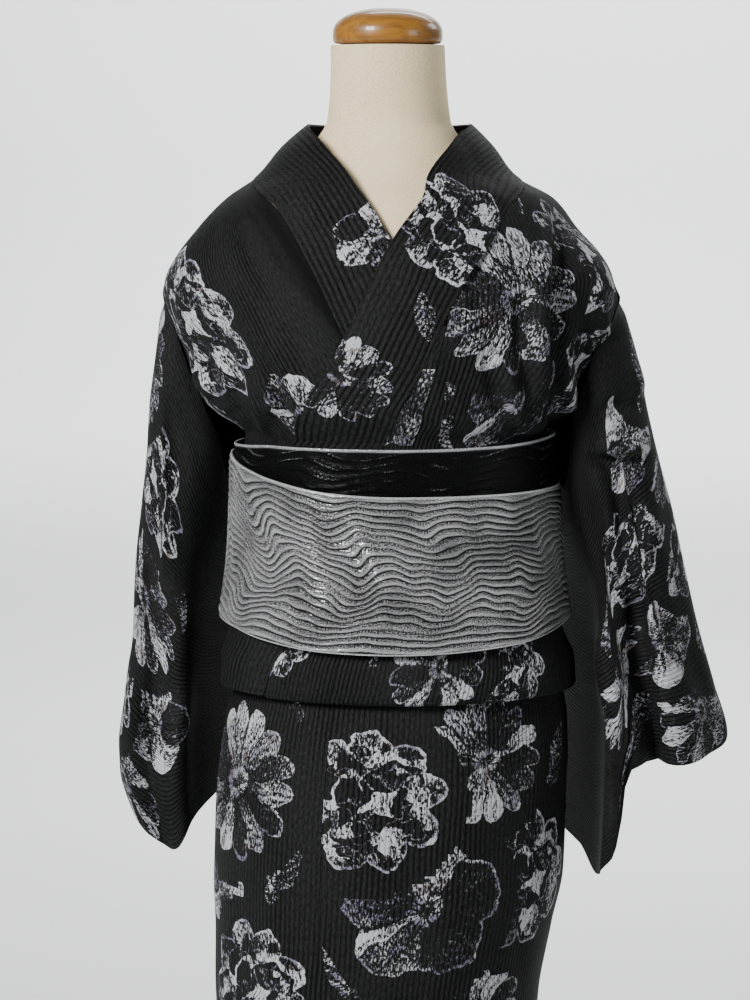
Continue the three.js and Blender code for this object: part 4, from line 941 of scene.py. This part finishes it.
silver_thread = thread_metal("silver_thread", (0.97, 0.97, 0.98, 1), (0.003, 0.003, 0.003, 1), 1.0)
black_silk = thread_metal("black_silk", (0.80, 0.80, 0.83, 1), (0.0035, 0.0035, 0.0038, 1), 0.0)

turn = np.linspace(-180, 180, 337)[None, :-1]
down = (np.linspace(0, 1, 66) ** 1.5)[:, None]
level = obi_edge(TOP, turn) + (obi_edge(BOTTOM, turn) - obi_edge(TOP, turn)) * down
from_top = obi_edge(TOP, turn) - level
quilt_phase = from_top / 7.5 + 0.5 * np.sin(np.radians(turn) * 9 + 0.08 * from_top)
quilt = 0.6 * emboss(quilt_phase) * step(from_top, 2, 6)
edge_cord = 0.5 * np.exp(-((from_top - 1.0) / 1.0) ** 2)
outer = on_rings(OBI, turn, level, 1.5 + quilt + edge_cord)
inner = on_rings(OBI, turn, level[::13], 0)
obi_uv = np.stack(np.broadcast_arrays(
    np.radians(np.linspace(-180, 180, 337))[None, :] * UNDER_MAP_RADIUS, 1.1 - down * 0.16), -1)
under_wrap = shell("obi_under_wrap", outer, inner, obi_uv, black_silk, ["obi_inner_wrap"], ring=True)
add_threads(under_wrap, quilt_phase, 0.9 * np.exp(-((from_top - 0.6) / 1.3) ** 4))
declare(under_wrap)

turn = np.linspace(-180, 180, 401)[None, :-1]
down = np.linspace(0, 1, 205)[:, None]
RIDGES = 22
WAVES = [(-180, 5), (-100, 9), (-70, 12), (-52, 9), (-30, 5.5), (0, 4.6), (40, 4.4), (80, 5), (180, 5)]
amplitude = smooth([row[0] for row in WAVES], [row[1] for row in WAVES], turn)
swing = 10 * np.radians(turn) + 2.1 + 1.1 * np.sin(2.4 * np.pi * down + 0.6) + 0.5 * np.sin(3 * np.radians(turn))
rise = amplitude * np.sin(swing) + 0.28 * amplitude * np.sin(2 * swing + 1.0)
rise += 0.9 * np.sin(23 * np.radians(turn) + 5 * down) + 0.6 * np.sin(41 * np.radians(turn) - 11 * down)
fade = np.sin(np.pi * np.clip(down, 0, 1)) ** 0.6
level = obi_edge(OUTER_TOP, turn) + (obi_edge(BOTTOM, turn) - obi_edge(OUTER_TOP, turn)) * down
pinch = 0.3 * np.sin(5 * np.radians(turn) + 9 * down) + 0.25 * np.sin(13 * np.radians(turn) - 7 * down)
phase = RIDGES * down + pinch * fade + rise * fade * RIDGES / 125
outer = on_rings(OBI, turn, level, 4.6 + 1.5 * emboss(phase) * step(fade, 0.05, 0.3))
inner = on_rings(OBI, turn, level[::17], 3.1)
obi_uv = np.stack(np.broadcast_arrays(
    np.radians(np.linspace(-180, 180, 401))[None, :] * OUTER_MAP_RADIUS, 1.07 - down * 0.125), -1)
outer_wrap = shell("obi_silver_wrap", outer, inner, obi_uv, silver_thread, ["obi_outer_wrap"], ring=True)
add_threads(outer_wrap, phase, 0.9 * ((down < 0.012) | (down > 0.992)) + 0 * turn)
declare(outer_wrap)

KNOTS = [  # name, CAD node, across and height of both ends, width, outer face
    ("left_obi_end", "obi_end_left", -10, 1010, 96, 1052, 84, 8.6),
    ("right_obi_end", "obi_end_right", -16, 1000, -102, 985, 84, 8.6),
    ("obi_knot", "obi_knot_band", -6, 1096, -16, 946, 70, 11.4)]
for name, node, across0, z0, across1, z1, width, out in KNOTS:
    length = math.hypot(across1 - across0, z1 - z0)
    ax, az = (across1 - across0) / length, (z1 - z0) / length
    u = np.linspace(0, 1, int(length / 1.6))[None, :]
    v = np.linspace(-0.5, 0.5, int(width / 1.3))[:, None]
    across = across0 + (across1 - across0) * u - az * width * v
    level = z0 + (z1 - z0) * u + ax * width * v
    phase = width * v / 6 + 0.8 * np.sin(length * u / 12 + 2 * v)
    soft = step(0.5 - np.abs(v), 0, 0.06) + 0 * u
    around = 180 - np.degrees(across / 118)
    outer = on_rings(OBI, around, level, out - 1.3 + 1.2 * emboss(phase) * soft)
    inner = on_rings(OBI, around, level, out - 2.6)
    uv = np.stack(np.broadcast_arrays(u * length / 1000, v * width / 1000), -1)
    end = shell(name, outer, inner, uv, silver_thread, [node])
    add_threads(end, phase, 0)
    declare(end)


# Dress form: a moulded body without arms or legs under tight cream jersey, on which the kimono hangs. Only
# its neck shows.
FORM = np.array([  # z, middle x, middle y, half width, half depth
    (1400, -8, 12, 45, 46), (1380, -7.5, 14, 45.5, 47), (1341, -7, 20, 49, 51), (1325, -7, 21, 59, 57),
    (1309, -7, 18, 76, 65), (1295, -7, 13, 92, 72), (1276, -6, 7, 122, 84), (1237, -8, 1, 156, 96),
    (1205, -6, -1, 166, 101), (1166, -5, -3, 157, 103), (1125, -4, -5, 138, 98), (1090, -2, -7, 112, 90),
    (1010, -1, -7, 104, 84), (900, 0, -5, 116, 90), (850, 0, -3, 110, 86), (815, 0, -1, 88, 72),
    (800, 0, 0, 62, 56)], float)
jersey, tree, shader = new_material("cream_jersey")
place = add_node(tree, "ShaderNodeTexCoord").outputs["Object"]
knit = noise(tree, stretch(tree, place, (1400.0, 1400.0, 500.0)), 1.0, 2.0)
soil = noise(tree, place, 22.0, 3.0)
warm = blend_colour(tree, ramp(tree, soil, 0.35, 0.65), (0.86, 0.64, 0.36, 1), (0.95, 0.755, 0.455, 1))
tree.links.new(blend_colour(tree, ramp(tree, knit, 0.35, 0.65), warm, (0.97, 0.84, 0.56, 1)),
               shader.inputs["Base Color"])
shader.inputs["Roughness"].default_value = 0.85
shader.inputs["Sheen Weight"].default_value = 0.05
set_bump(tree, shader, knit, 0.35, 0.0004)
angle = np.arange(0, 360, 3.0)[None, :]
height = np.concatenate([np.arange(1400, 800, -6.0), [800]])[:, None]
skin = ring_point(FORM, angle + 0 * height, height + 0 * angle)
points = np.concatenate([skin.reshape(-1, 3), [(-8, 12, 1400), (0, 0, 800)]]) / 1000
rows, columns = skin.shape[:2]
faces = [((r + 1) * columns + c, (r + 1) * columns + (c + 1) % columns, r * columns + (c + 1) % columns,
          r * columns + c)
         for r in range(rows - 1) for c in range(columns)]
faces += [(rows * columns, c, (c + 1) % columns) for c in range(columns)]
faces += [(rows * columns + 1, (rows - 1) * columns + (c + 1) % columns,
           (rows - 1) * columns + c) for c in range(columns)]
form_mesh = bpy.data.meshes.new("form_torso_cover")
form_mesh.from_pydata(points.tolist(), [], faces)
form_mesh.polygons.foreach_set("use_smooth", [True] * len(faces))
form_mesh.set_sharp_from_angle(angle=math.radians(50))
form_mesh.materials.append(jersey)
form = bpy.data.objects.new("form_torso_cover", form_mesh)
scene.collection.objects.link(form)
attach(form, "root")
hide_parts("form_torso")


def lacquered_wood(name, grain_turn):
    """Honey-brown wood under clear gloss lacquer."""
    material, tree, shader = new_material(name)
    place = add_node(tree, "ShaderNodeTexCoord").outputs["Object"]
    turned = add_node(tree, "ShaderNodeMapping", Vector=place, Rotation=grain_turn,
                      Scale=(30.0, 210.0, 210.0)).outputs[0]
    grain = noise(tree, turned, 1.0, 4.0, Distortion=0.6)
    pore = noise(tree, turned, 5.0, 2.0)
    colour = blend_colour(tree, ramp(tree, grain, 0.35, 0.65), (0.22, 0.09, 0.011, 1), (0.34, 0.15, 0.02, 1))
    colour = blend_colour(tree, ramp(tree, pore, 0.55, 0.75, 0.0, 0.5), colour, (0.14, 0.055, 0.008, 1))
    tree.links.new(colour, shader.inputs["Base Color"])
    tree.links.new(ramp(tree, grain, 0.3, 0.7, 0.42, 0.3), shader.inputs["Roughness"])
    shader.inputs["Coat Weight"].default_value = 0.35
    shader.inputs["Coat Roughness"].default_value = 0.08
    set_bump(tree, shader, grain, 0.15, 0.0003)
    return material


# Neck cap and pole socket: turned honey-brown wood under gloss lacquer.
CAP = [(41.5, 0), (43.5, 2), (43.5, 11), (42.5, 15), (38.5, 20), (30.5, 25), (17.5, 28.2), (6, 29)]  # radius, height
bpy.ops.object.select_all(action="DESELECT")
bpy.ops.mesh.primitive_circle_add(vertices=96, radius=CAP[0][0] / 1000, fill_type="NGON", location=(0, 0, 0))
cap = bpy.context.object
cap.name = "wood_neck_cap"
bpy.ops.object.mode_set(mode="EDIT")
bpy.ops.mesh.select_all(action="SELECT")
for (radius, low), (next_radius, high) in zip(CAP, CAP[1:]):
    bpy.ops.mesh.extrude_region_move(TRANSFORM_OT_translate={"value": (0, 0, (high - low) / 1000)})
    bpy.ops.transform.resize(value=(next_radius / radius, next_radius / radius, 1))
bpy.ops.mesh.select_all(action="SELECT")
bpy.ops.mesh.normals_make_consistent(inside=False)
bpy.ops.transform.translate(value=(-0.008, 0.012, 1.4003))
bpy.ops.object.mode_set(mode="OBJECT")
rounding = cap.modifiers.new("soft", "SUBSURF")
rounding.levels = rounding.render_levels = 1
bpy.ops.object.modifier_apply(modifier="soft")
bpy.ops.object.shade_smooth()
cap.data.materials.append(lacquered_wood("cap_wood", (0, 0, 0.4)))
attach(cap, "root")
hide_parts("neck_cap")
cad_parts["pole_socket"].data.materials.clear()
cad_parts["pole_socket"].data.materials.append(lacquered_wood("socket_wood", (0, 1.5708, 0)))


# Stand: a steel tube on a heavy round plate, both powder-coated satin black.
steel, tree, shader = new_material("stand_steel")
place = add_node(tree, "ShaderNodeTexCoord").outputs["Object"]
peel = noise(tree, place, 900.0, 1.0)
dust = noise(tree, place, 14.0, 4.0)
tree.links.new(blend_colour(tree, ramp(tree, dust, 0.4, 0.7), (0.012, 0.012, 0.013, 1),
                            (0.03, 0.03, 0.031, 1)), shader.inputs["Base Color"])
tree.links.new(ramp(tree, dust, 0.3, 0.7, 0.32, 0.5), shader.inputs["Roughness"])
set_bump(tree, shader, peel, 0.2, 0.0002)
for name in ("pole", "base"):
    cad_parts[name].data.materials.clear()
    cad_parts[name].data.materials.append(steel)
